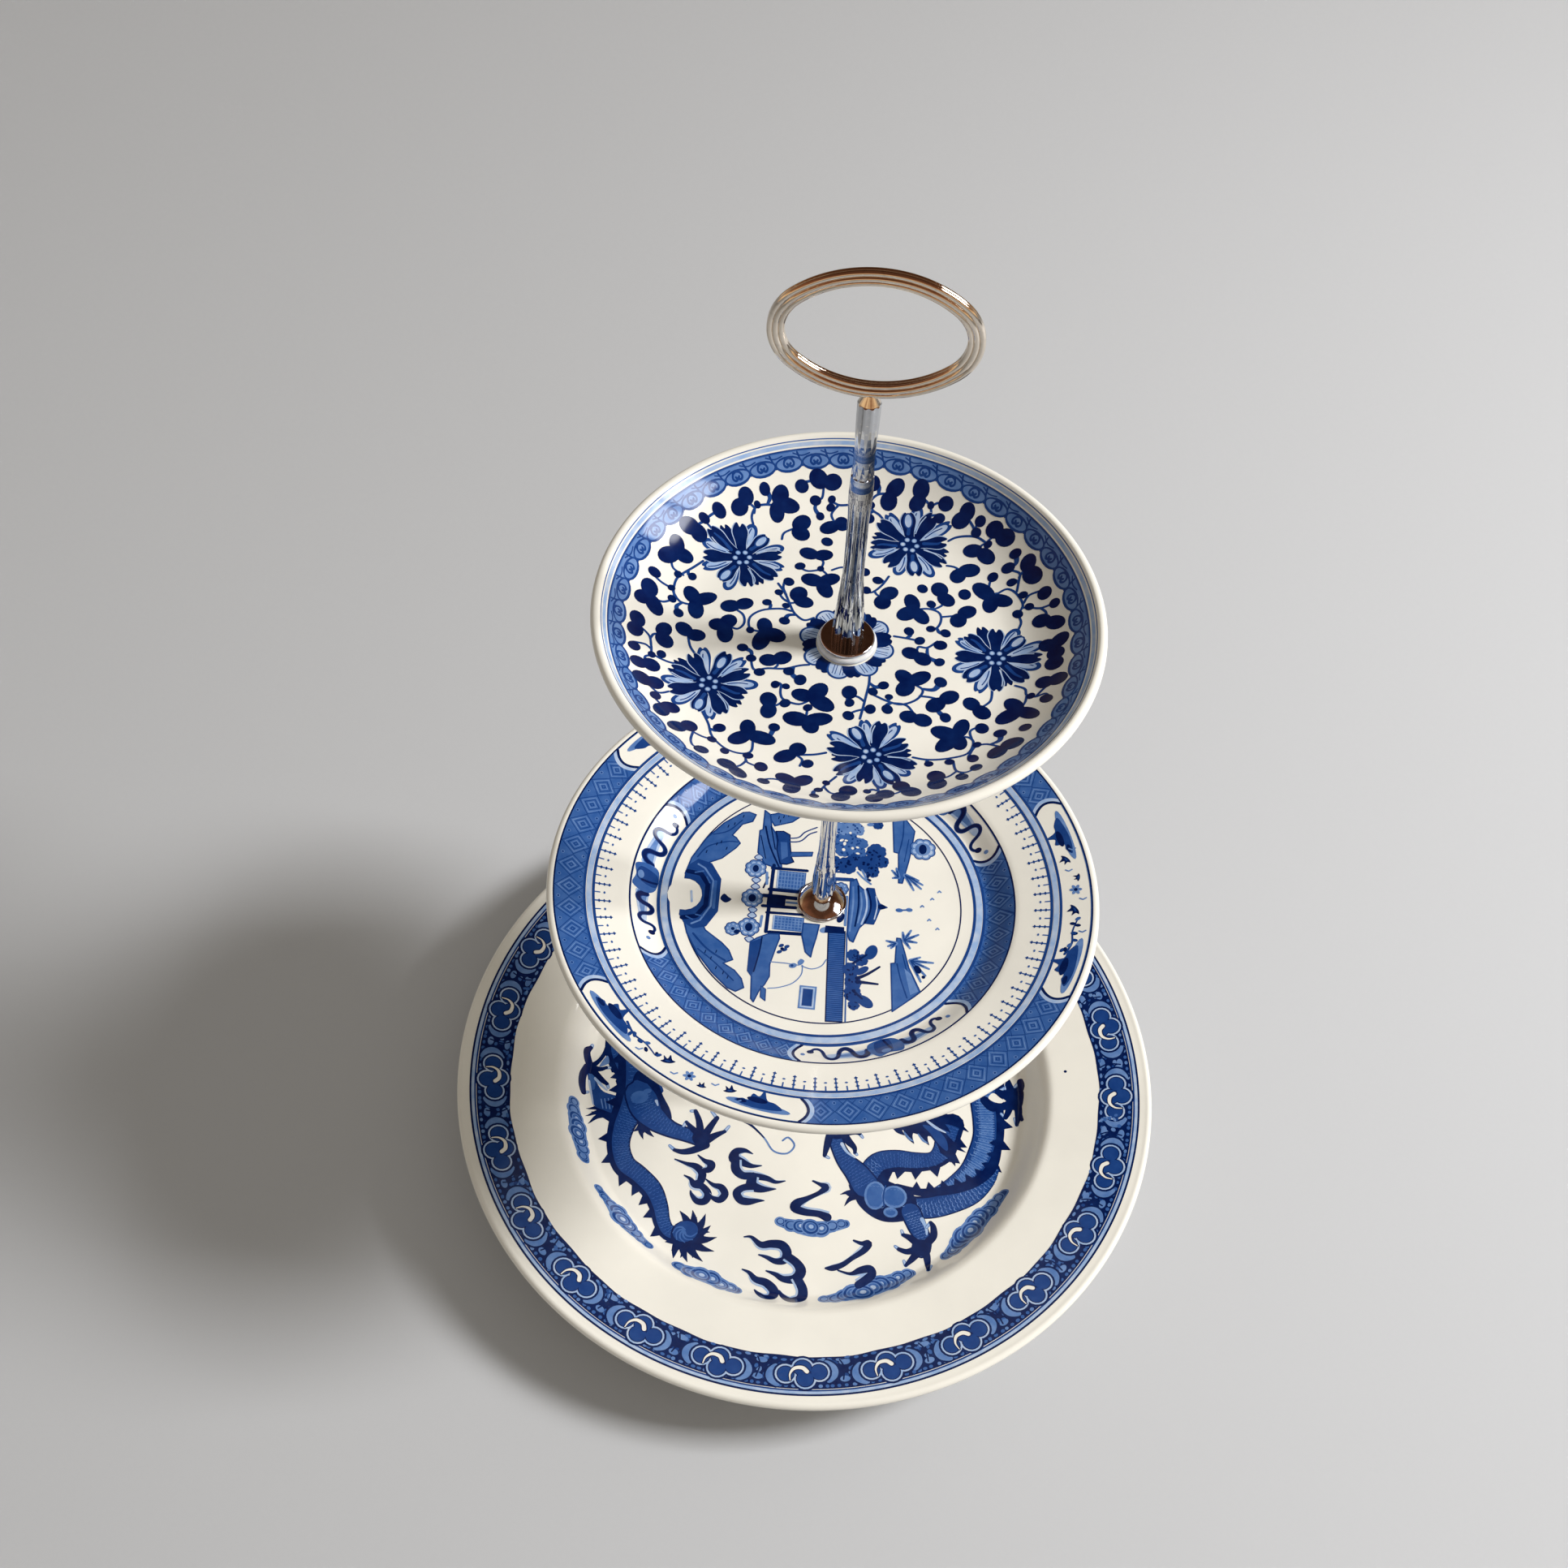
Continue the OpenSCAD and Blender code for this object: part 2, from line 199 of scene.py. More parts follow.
def plastic_material():
    """Soft white washer plastic, slightly translucent and scuffed."""
    material, tree, shader = new_material("white_plastic")
    plug(tree, shader, {
        "Base Color": greys(tree, noise(tree, 400.0, 4.0), 0.70, 0.80, 0.3, 0.6),
        "Roughness": 0.45,
        "Subsurface Weight": 0.1,
        "Subsurface Scale": 0.001,
        "Normal": bump(tree, noise(tree, 2500.0), 0.00001)})
    return material


def zinc_material():
    """Zinc-plated steel studs with a turned thread drawn as fine relief."""
    material, tree, shader = new_material("zinc_steel")
    wave_scale = 1 / 0.0007                    # draws a ridge every 0.22 mm
    inputs = {"Scale": wave_scale, "Vector": add(tree, "ShaderNodeTexCoord").outputs["Object"]}
    thread = add(tree, "ShaderNodeTexWave", inputs, bands_direction="Z", wave_profile="TRI")
    plug(tree, shader, {
        "Base Color": greys(tree, noise(tree, 600.0, 4.0), 0.45, 0.66, 0.3),
        "Metallic": 1.0,
        "Roughness": 0.35,
        "Normal": bump(tree, thread.outputs["Fac"], 0.0003)})
    return material


def dress(material, *names):
    """Gives CAD nodes one material in all their slots."""
    for name in names:
        mesh = nodes[name].data
        mesh.materials.clear()
        mesh.materials.append(material)


# ------------------------------------------------------------------ plates

def clamp(value, low=0.0, high=1.0):
    """value held between low and high."""
    return max(low, min(high, value))


def ease(t):
    """0 to 1 with a level start and a level end."""
    c = clamp(t)
    return c * c * (3 - 2 * c)


SKIN = 3.2                     # wall thickness
FLOOR = 4.0                    # floor thickness
LIP_R = 1.5                    # radius of the rolled lip
FOOT_W = 2.6                   # width of the foot's face
HOLE_D = 6.0                   # drilled hole
LIP_START = 120                # where the face meets the lip, degrees
SEGMENTS = 256                 # steps round a plate
STEPS = 44                     # steps of a section, up the face and down the back
LIFT = 0.06                    # how far the decoration lies over the face
SLOPE_STEP = 0.05              # the face's slope is taken this far to both sides


class Plate:
    """One tier: its sizes in millimetres, its face as height over radius, and its outline."""

    def __init__(self, name, well_d, wall_run=None, wall_h=None, curve=None, foot_h=3.0):
        low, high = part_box(name)
        self.name = name
        self.radius = high.x / MM
        self.well_r = well_d / 2
        self.foot_h = foot_h
        self.wall_run, self.wall_h, self.curve = wall_run, wall_h, curve
        self.floor_z = low.z / MM + foot_h + FLOOR
        self.depth = high.z / MM - self.floor_z
        self.join_r = self.radius - 1.5 * LIP_R        # where the lip's arc starts
        self.join_z = self.depth - LIP_R * (1 - math.sin(math.radians(LIP_START)))

    def face(self, r):
        """Height of the upper face over the floor."""
        share = clamp((r - self.well_r) / (self.join_r - self.well_r))
        if self.curve:
            return self.join_z * share ** self.curve
        wall = self.wall_h * ease((r - self.well_r) / self.wall_run)
        return wall + (self.join_z - self.wall_h) * share

    def slope(self, r):
        """Rise of the face per millimetre outward."""
        return (self.face(r + SLOPE_STEP) - self.face(r - SLOPE_STEP)) / (2 * SLOPE_STEP)

    def outline(self):
        """The closed section: face, lip, back, foot and drilled hole."""
        flat = [(HOLE_D / 2 + (self.well_r - HOLE_D / 2) * i / 4, 0.0) for i in range(4)]
        rise = [self.well_r + (self.join_r - self.well_r) * i / STEPS for i in range(STEPS + 1)]
        face = [(r, self.face(r)) for r in rise]
        turns = [math.radians(108 - 18 * i) for i in range(12)]     # over the lip to straight down
        lip = [(self.radius - LIP_R + LIP_R * math.cos(a), self.depth - LIP_R + LIP_R * math.sin(a))
               for a in turns]
        foot_r = self.well_r - 1
        start, end = self.radius - 3 * LIP_R, foot_r + 2
        back_r = [start + (end - start) * i / STEPS for i in range(STEPS + 1)]
        back = [(r, self.face(r - 0.8 * SKIN) - SKIN) for r in back_r]
        foot_z = -FLOOR - self.foot_h
        bevel = 0.9
        inner = foot_r - bevel - FOOT_W
        foot = [(foot_r, -FLOOR), (foot_r - 0.4, foot_z + 0.5), (foot_r - bevel, foot_z),
                (inner, foot_z), (inner - 0.7, foot_z + 0.7), (inner - 1.5, -FLOOR)]
        under = [(foot_r * i / 4, -FLOOR) for i in (3, 2, 1)]
        return flat + face + lip + back + foot + under + [(HOLE_D / 2, -FLOOR)]


def mesh_object(name, vertices, faces, materials):
    """A smooth-shaded mesh object, linked to the scene."""
    mesh = bpy.data.meshes.new(name)
    mesh.from_pydata(vertices, [], faces)
    mesh.update()
    for material in materials:
        mesh.materials.append(material)
    mesh.shade_smooth()
    made = bpy.data.objects.new(name, mesh)
    bpy.context.scene.collection.objects.link(made)
    return made


def lathe(plate, materials):
    """The plate's body, turned from its outline, with the foot's face left unglazed."""
    outline = plate.outline()
    count = len(outline)
    vertices = []
    for s in range(SEGMENTS):
        a = math.tau * s / SEGMENTS
        vertices += [(r * math.cos(a) * MM, r * math.sin(a) * MM, (z + plate.floor_z) * MM)
                     for r, z in outline]
    faces = []
    for s in range(SEGMENTS):
        here, there = s * count, (s + 1) % SEGMENTS * count
        for k in range(count):
            after = (k + 1) % count
            faces.append((here + k, there + k, there + after, here + after))
    body = mesh_object(plate.name + "_body", vertices, faces, materials)
    bottom = (plate.floor_z - FLOOR - plate.foot_h + 0.01) * MM
    for polygon in body.data.polygons:
        if all(body.data.vertices[v].co.z < bottom for v in polygon.vertices):
            polygon.material_index = 1
    body.data.set_sharp_from_angle(angle=math.radians(40))
    return body


# ------------------------------------------------------------------ drawing, in millimetres

NAVY, COBALT, MID, SOFT, WASH, BARE = range(6)


def spot(radius, degrees):
    """A point at radius and angle."""
    a = math.radians(degrees)
    return (radius * math.cos(a), radius * math.sin(a))


def beside(at, radius, degrees):
    """The point at radius and angle from another one."""
    x, y = spot(radius, degrees)
    return (at[0] + x, at[1] + y)


def toward(start, end, share):
    """The point a share of the way from start to end."""
    return (start[0] + share * (end[0] - start[0]), start[1] + share * (end[1] - start[1]))


def oval(centre, a, b=None, turn=0, steps=18):
    """An ellipse of half axes a and b, turned by turn degrees."""
    b = a if b is None else b
    c, s = math.cos(math.radians(turn)), math.sin(math.radians(turn))
    around = [math.tau * i / steps for i in range(steps)]
    local = [(a * math.cos(t), b * math.sin(t)) for t in around]
    return [(centre[0] + x * c - y * s, centre[1] + x * s + y * c) for x, y in local]


def spline(points, closed=False, steps=5):
    """A smooth line through points."""
    count = len(points)
    if count < 3 and not closed:
        return list(points)
    found = []
    for i in range(count if closed else count - 1):
        if closed:
            p0, p1, p2, p3 = (points[(i + k) % count] for k in (-1, 0, 1, 2))
        else:
            p0, p1, p2, p3 = (points[int(clamp(i + k, 0, count - 1))] for k in (-1, 0, 1, 2))
        for k in range(steps):
            t = k / steps
            found.append(tuple(
                0.5 * (2 * b + (c - a) * t + (2 * a - 5 * b + 4 * c - d) * t * t
                       + (3 * b - a - 3 * c + d) * t ** 3)
                for a, b, c, d in zip(p0, p1, p2, p3)))
    return found if closed else found + [points[-1]]


def blob(points):
    """A closed smooth outline through points, as a list of one polygon."""
    return [spline(points, True, 4)]


def panel(x0, y0, x1, y1):
    """An upright box between two corners."""
    return [(x0, y0), (x1, y0), (x1, y1), (x0, y1)]


def stroke(points, width, end_width=None, smooth=True):
    """A pen line through points, as quads and round joints. Its width runs to end_width."""
    line = spline(points) if smooth else list(points)
    end_width = width if end_width is None else end_width
    last = len(line) - 1
    half = [0.5 * (width + (end_width - width) * i / last) for i in range(last + 1)]
    shapes = []
    for (x0, y0), (x1, y1), r0, r1 in zip(line, line[1:], half, half[1:]):
        length = math.hypot(x1 - x0, y1 - y0) or 1e-6
        nx, ny = (y0 - y1) / length, (x1 - x0) / length
        shapes.append([(x0 - nx * r0, y0 - ny * r0), (x1 - nx * r1, y1 - ny * r1),
                       (x1 + nx * r1, y1 + ny * r1), (x0 + nx * r0, y0 + ny * r0)])
    shapes += [oval(p, r, steps=8) for p, r in zip(line, half) if r > 0.04]
    return shapes


def ring(inner, outer):
    """A band between two radii, as six polygons."""
    step = 1.5
    count = math.ceil(math.radians(60) * outer / step)
    shapes = []
    for start in range(0, 360, 60):
        turns = [start + 60 * k / count for k in range(count + 1)]
        shapes.append([spot(outer, a) for a in turns] + [spot(inner, a) for a in reversed(turns)])
    return shapes


def line_ring(radius, width):
    """A thin circle of line."""
    return ring(radius - width / 2, radius + width / 2)


def move(shapes, at=(0, 0), turn=0.0, size=1.0):
    """Shapes scaled, turned and moved."""
    c, s = math.cos(math.radians(turn)) * size, math.sin(math.radians(turn)) * size
    return [[(at[0] + x * c - y * s, at[1] + x * s + y * c) for x, y in shape] for shape in shapes]


def area(shape):
    """Signed area of a polygon."""
    return 0.5 * sum(x0 * y1 - x1 * y0 for (x0, y0), (x1, y1) in zip(shape, shape[1:] + shape[:1]))


class Painting:
    """Flat shapes in painter's order, laid on a plate's face as sheets of one tone each."""

    def __init__(self, plate):
        self.plate = plate
        self.shapes = []
        self.tones = []

    def paint(self, tone, *groups):
        """Adds groups of polygons over what is there. BARE wipes back to the glaze."""
        for group in groups:
            for shape in group:
                # a quad may cross itself in a sharp bend, and its two triangles can't
                parts = [shape[:3], [shape[0], *shape[2:]]] if len(shape) == 4 else [shape]
                for part in parts:
                    if abs(area(part)) > 1e-4:
                        self.shapes.append(part if area(part) > 0 else part[::-1])
                        self.tones.append(tone)

    def dot(self, tone, at, a, b=None, turn=0, steps=18):
        """One oval."""
        self.paint(tone, [oval(at, a, b, turn, steps)])

    def line(self, tone, points, width, end_width=None):
        """A smooth pen line."""
        self.paint(tone, stroke(points, width, end_width))

    def bar(self, tone, points, width, end_width=None):
        """A pen line straight from point to point."""
        self.paint(tone, stroke(points, width, end_width, smooth=False))

    def band(self, tone, points, low=-1.0, high=1.0):
        """A strip along a body, or part of its width."""
        self.paint(tone, band(points, low, high))

    def blob(self, tone, points):
        """A closed smooth shape."""
        self.paint(tone, blob(points))

    def edged(self, tone, edge, points, width, smooth=False):
        """A filled shape with a line of the tone edge round it."""
        outline = spline(points, True, 4) if smooth else list(points)
        self.paint(tone, [outline])
        self.bar(edge, outline + outline[:1], width)

    def sheets(self, materials, rings):
        """One mesh for each tone, following the face. rings are radii where the face bends."""
        corners, faces, edges = [], [], []
        for shape in self.shapes:
            faces.append(list(range(len(corners), len(corners) + len(shape))))
            corners += [Vector(p) for p in shape]
        for radius in rings:
            start, count = len(corners), max(24, int(math.tau * radius / 2.5))
            corners += [Vector(spot(radius, 360 * (k + 0.5) / count)) for k in range(count)]
            edges += [(start + k, start + (k + 1) % count) for k in range(count)]
        points, _, found, _, _, sources = delaunay_2d_cdt(corners, edges, faces, 1, 1e-5)
        made = []
        for tone, material in enumerate(materials):
            kept = [f for f, s in zip(found, sources) if s and self.tones[max(s)] == tone]
            if kept:
                made.append(self.sheet(points, kept, material))
        return made

    def sheet(self, points, triangles, material):
        """The mesh of one tone, with the plate's own normals and a flat UV map."""
        plate = self.plate
        used = sorted({v for t in triangles for v in t})
        place = {v: i for i, v in enumerate(used)}
        vertices, normals = [], []
        for v in used:
            x, y = points[v]
            r = max(math.hypot(x, y), 1e-6)
            fall = -plate.slope(r)
            vertices.append((x * MM, y * MM, (plate.floor_z + plate.face(r) + LIFT) * MM))
            normals.append(Vector((fall * x / r, fall * y / r, 1)).normalized())
        name = f"{plate.name}_{material.name}"
        faces = [[place[v] for v in t] for t in triangles]
        made = mesh_object(name, vertices, faces, [material])
        made.data.normals_split_custom_set_from_vertices(normals)
        flat = made.data.uv_layers.new(name="OFBake")
        across = 2.04 * plate.radius * MM      # the map's side, a little wider than the plate
        for loop in made.data.loops:
            x, y, _ = made.data.vertices[loop.vertex_index].co
            flat.data[loop.index].uv = (0.5 + x / across, 0.5 + y / across)
        return made


# ------------------------------------------------------------------ upper plate: flowers and leaves

WIPE_R = 8.35                  # bare glaze round the column, on the upper and the lower plate
STEM_W = 0.70                  # width of a stem
STALK_REACH = 7.0              # longest stalk
LOBE_R = 2.3                   # half width of a leaf's lobe

# Each leaf is its base and the middles of its lobes' round ends.
LEAVES = (
    ((-10.3, 55.3), (-12.8, 56.2), (-7.8, 56.0)),
    ((-23.6, 47.4), (-22.6, 50.3), (-19.3, 47.4), (-23.1, 43.7)),
    ((-17.4, 40.8), (-15.6, 43.2), (-15.6, 38.9)), ((-6.0, 43.6), (-8.6, 42.0), (-4.8, 44.0)),
    ((-32.6, 45.0), (-32.4, 47.0), (-34.1, 43.0)), ((-44.9, 33.9), (-47.4, 32.8), (-44.1, 31.8)),
    ((-49.4, 24.0), (-49.7, 26.9), (-46.9, 23.6), (-52.2, 21.2)),
    ((-42.6, 9.6), (-44.1, 12.4), (-38.8, 11.8), (-41.8, 5.7)),
    ((-54.9, 6.9), (-55.1, 9.8), (-56.7, 4.9), (-52.5, 3.2)), ((-30.8, 9.9), (-33.3, 9.4), (-28.6, 11.0)),
    ((-33.6, 2.2), (-35.8, 2.4), (-32.6, 4.1), (-33.0, -1.7)),
    ((-22.2, 1.3), (-22.9, 4.2), (-19.0, 0.1), (-23.5, -3.2)),
    ((-15.0, 14.1), (-14.4, 16.6), (-12.2, 13.3)), ((-10.8, 31.2), (-13.5, 32.2), (-8.2, 32.0)),
    ((-8.7, 21.4), (-12.0, 22.2), (-5.6, 23.2), (-6.9, 17.8)), ((8.0, 54.3), (10.2, 56.1), (8.2, 51.9)),
    ((17.6, 53.4), (17.0, 55.5), (16.1, 51.6)), ((30.9, 46.6), (30.5, 48.8), (28.8, 46.3)),
    ((39.8, 41.0), (38.3, 42.6), (42.0, 39.2)), ((35.0, 36.8), (32.3, 37.1), (37.3, 34.3)),
    ((29.9, 30.4), (33.0, 30.6), (29.1, 28.0)), ((48.0, 28.8), (48.2, 31.3), (49.9, 26.3)),
    ((8.9, 18.0), (10.8, 20.0), (8.8, 15.8)), ((17.9, 14.4), (16.6, 18.0), (15.2, 12.2), (20.2, 11.3)),
    ((24.9, 20.7), (24.3, 23.1), (26.7, 18.8)), ((30.6, 13.9), (32.8, 15.7), (29.9, 11.6)),
    ((38.8, 21.0), (35.6, 24.2), (38.5, 17.8), (42.6, 19.6)), ((54.2, 11.2), (52.2, 11.5), (56.4, 9.4)),
    ((55.6, 1.6), (53.9, 2.7), (57.5, 3.8)), ((19.3, -2.0), (17.2, -1.4), (21.2, -3.5)),
    ((18.0, -12.0), (15.8, -9.7), (21.4, -9.4), (16.4, -14.7)),
    ((26.8, -17.2), (29.2, -15.4), (24.6, -19.4)), ((36.0, -18.5), (34.4, -17.2), (37.8, -20.6)),
    ((20.0, -24.0), (17.8, -23.7), (22.3, -24.6)),
    ((31.2, -29.0), (32.6, -24.9), (26.5, -27.9), (27.6, -33.0), (31.9, -32.0)),
    ((47.2, -19.8), (45.2, -17.2), (43.2, -22.7), (50.2, -22.3)),
    ((43.0, -34.4), (45.8, -33.1), (41.0, -36.8)), ((56.0, -2.6), (56.2, -0.9), (55.8, -4.5)),
    ((55.0, -11.2), (53.3, -10.7), (56.9, -10.6)), ((27.0, -46.4), (26.1, -44.6), (26.3, -48.8)),
    ((18.3, -50.6), (17.3, -49.0), (20.2, -52.2)), ((3.2, -53.9), (4.0, -52.2), (2.0, -56.0)),
    ((11.8, -54.2), (13.6, -53.0), (10.6, -55.6)), ((-56.4, -4.9), (-56.8, -2.4), (-56.9, -7.3)),
    ((-50.3, -4.9), (-49.4, -2.4), (-48.7, -7.0)), ((-42.9, -2.4), (-44.7, -0.6), (-40.4, -2.4)),
    ((-52.8, -17.8), (-54.5, -18.3), (-51.1, -17.3)), ((-50.9, -25.0), (-52.9, -23.8), (-49.2, -23.5)),
    ((-46.2, -31.6), (-46.3, -34.2), (-43.9, -31.2)), ((-39.9, -37.4), (-42.0, -38.6), (-38.7, -36.4)),
    ((-18.6, -8.6), (-20.9, -8.7), (-16.5, -7.2)),
    ((-7.8, -20.3), (-11.2, -19.6), (-5.9, -17.3), (-3.9, -22.6)),
    ((-18.6, -24.2), (-19.3, -22.1), (-18.9, -26.6)),
    ((-8.6, -28.3), (-12.5, -27.9), (-3.9, -27.1), (-7.2, -30.3)),
    ((-23.4, -34.8), (-23.8, -31.9), (-26.4, -37.4), (-18.2, -36.0)),
    ((-10.9, -39.6), (-10.0, -38.2), (-14.0, -41.7)), ((-25.8, -49.8), (-27.9, -48.6), (-23.9, -52.4)),
    ((-9.8, -51.6), (-12.9, -49.6), (-7.2, -49.2), (-10.6, -55.0)),
)

# Round buds on their stalks: middle and radius.
BUDS = (
    (-17.0, 53.4, 1.8), (-12.7, 50.3, 1.5), (-8.1, 51.3, 1.1), (-8.2, 48.9, 1.2), (-10.9, 45.8, 1.2),
    (-27.4, 50.2, 1.6), (-8.2, 37.1, 1.6), (-29.0, 45.6, 1.0), (-39.4, 40.5, 2.0), (-43.2, 36.8, 1.5),
    (-44.3, 17.9, 1.2), (-48.2, 17.2, 1.1), (-54.4, 14.8, 1.6), (-49.4, 12.1, 1.0), (-48.8, 8.5, 1.2),
    (-46.5, 4.3, 1.4), (-22.9, 12.1, 1.2), (-17.6, 11.5, 1.0), (-17.5, 5.9, 1.4), (-26.5, 1.4, 1.1),
    (-17.6, 20.5, 1.5), (-20.0, 16.2, 1.1), (-15.0, 26.8, 1.4), (-9.2, 26.5, 1.0), (3.5, 56.7, 1.8),
    (3.2, 50.9, 1.1), (2.9, 46.8, 1.6), (24.4, 51.2, 2.0), (20.2, 51.1, 1.0), (22.9, 47.4, 1.5),
    (34.4, 45.4, 1.5), (33.5, 42.4, 1.4), (37.0, 38.5, 1.1), (44.6, 34.4, 1.5), (42.9, 30.5, 1.7),
    (38.9, 28.1, 1.5), (44.1, 25.8, 1.3), (7.0, 24.1, 1.4), (3.3, 26.8, 1.4), (4.1, 20.0, 1.3),
    (19.6, 22.5, 1.5), (22.3, 17.0, 1.3), (31.4, 21.8, 1.8), (47.3, 21.2, 1.2), (49.1, 17.0, 1.2),
    (46.1, 15.0, 1.4), (52.9, 20.3, 1.9), (55.6, 16.2, 1.4), (16.7, 6.3, 1.4), (22.6, 7.9, 1.2),
    (26.7, 6.8, 1.4), (19.8, 3.2, 1.4), (25.5, 2.3, 1.7), (25.5, -3.8, 1.4), (26.1, -10.8, 1.7),
    (10.9, -13.8, 1.4), (8.2, -16.3, 1.3), (12.6, -17.6, 1.0), (2.0, -17.3, 2.1), (2.3, -20.9, 1.3),
    (7.9, -22.4, 1.5), (12.4, -21.9, 1.5), (2.3, -25.3, 1.5), (27.9, -22.9, 1.5), (37.6, -26.0, 1.8),
    (42.3, -28.3, 1.6), (48.5, -27.4, 1.5), (36.4, -32.2, 1.1), (53.8, -17.3, 1.6), (50.0, -15.0, 1.1),
    (35.4, -37.8, 1.5), (29.5, -38.8, 1.2), (24.2, -39.6, 1.1), (36.2, -42.0, 1.5), (32.6, -45.8, 1.6),
    (-1.8, -49.6, 1.0), (8.8, -52.0, 1.0), (-56.2, -13.1, 1.6), (-49.1, -12.0, 1.3), (-51.5, -13.4, 1.1),
    (-48.5, -28.7, 1.5), (-34.5, -45.4, 1.8), (-32.4, -39.4, 1.2), (-31.0, -34.2, 1.6), (-27.9, -5.1, 1.4),
    (-25.2, -8.6, 1.3), (-22.5, -13.2, 1.4), (-17.9, -17.0, 1.2), (-15.0, -17.3, 1.0), (-14.7, -12.0, 1.4),
    (-11.4, -14.6, 1.7), (-14.7, -23.1, 1.4), (-8.6, -23.9, 1.2), (-16.8, -31.6, 1.4), (-7.1, -42.9, 1.5),
    (-28.7, -43.0, 1.2), (-22.6, -42.9, 1.3), (-18.9, -46.6, 1.8), (-17.7, -53.2, 1.5), (-3.6, -53.2, 1.1),
    (-4.5, -56.6, 1.2),
)

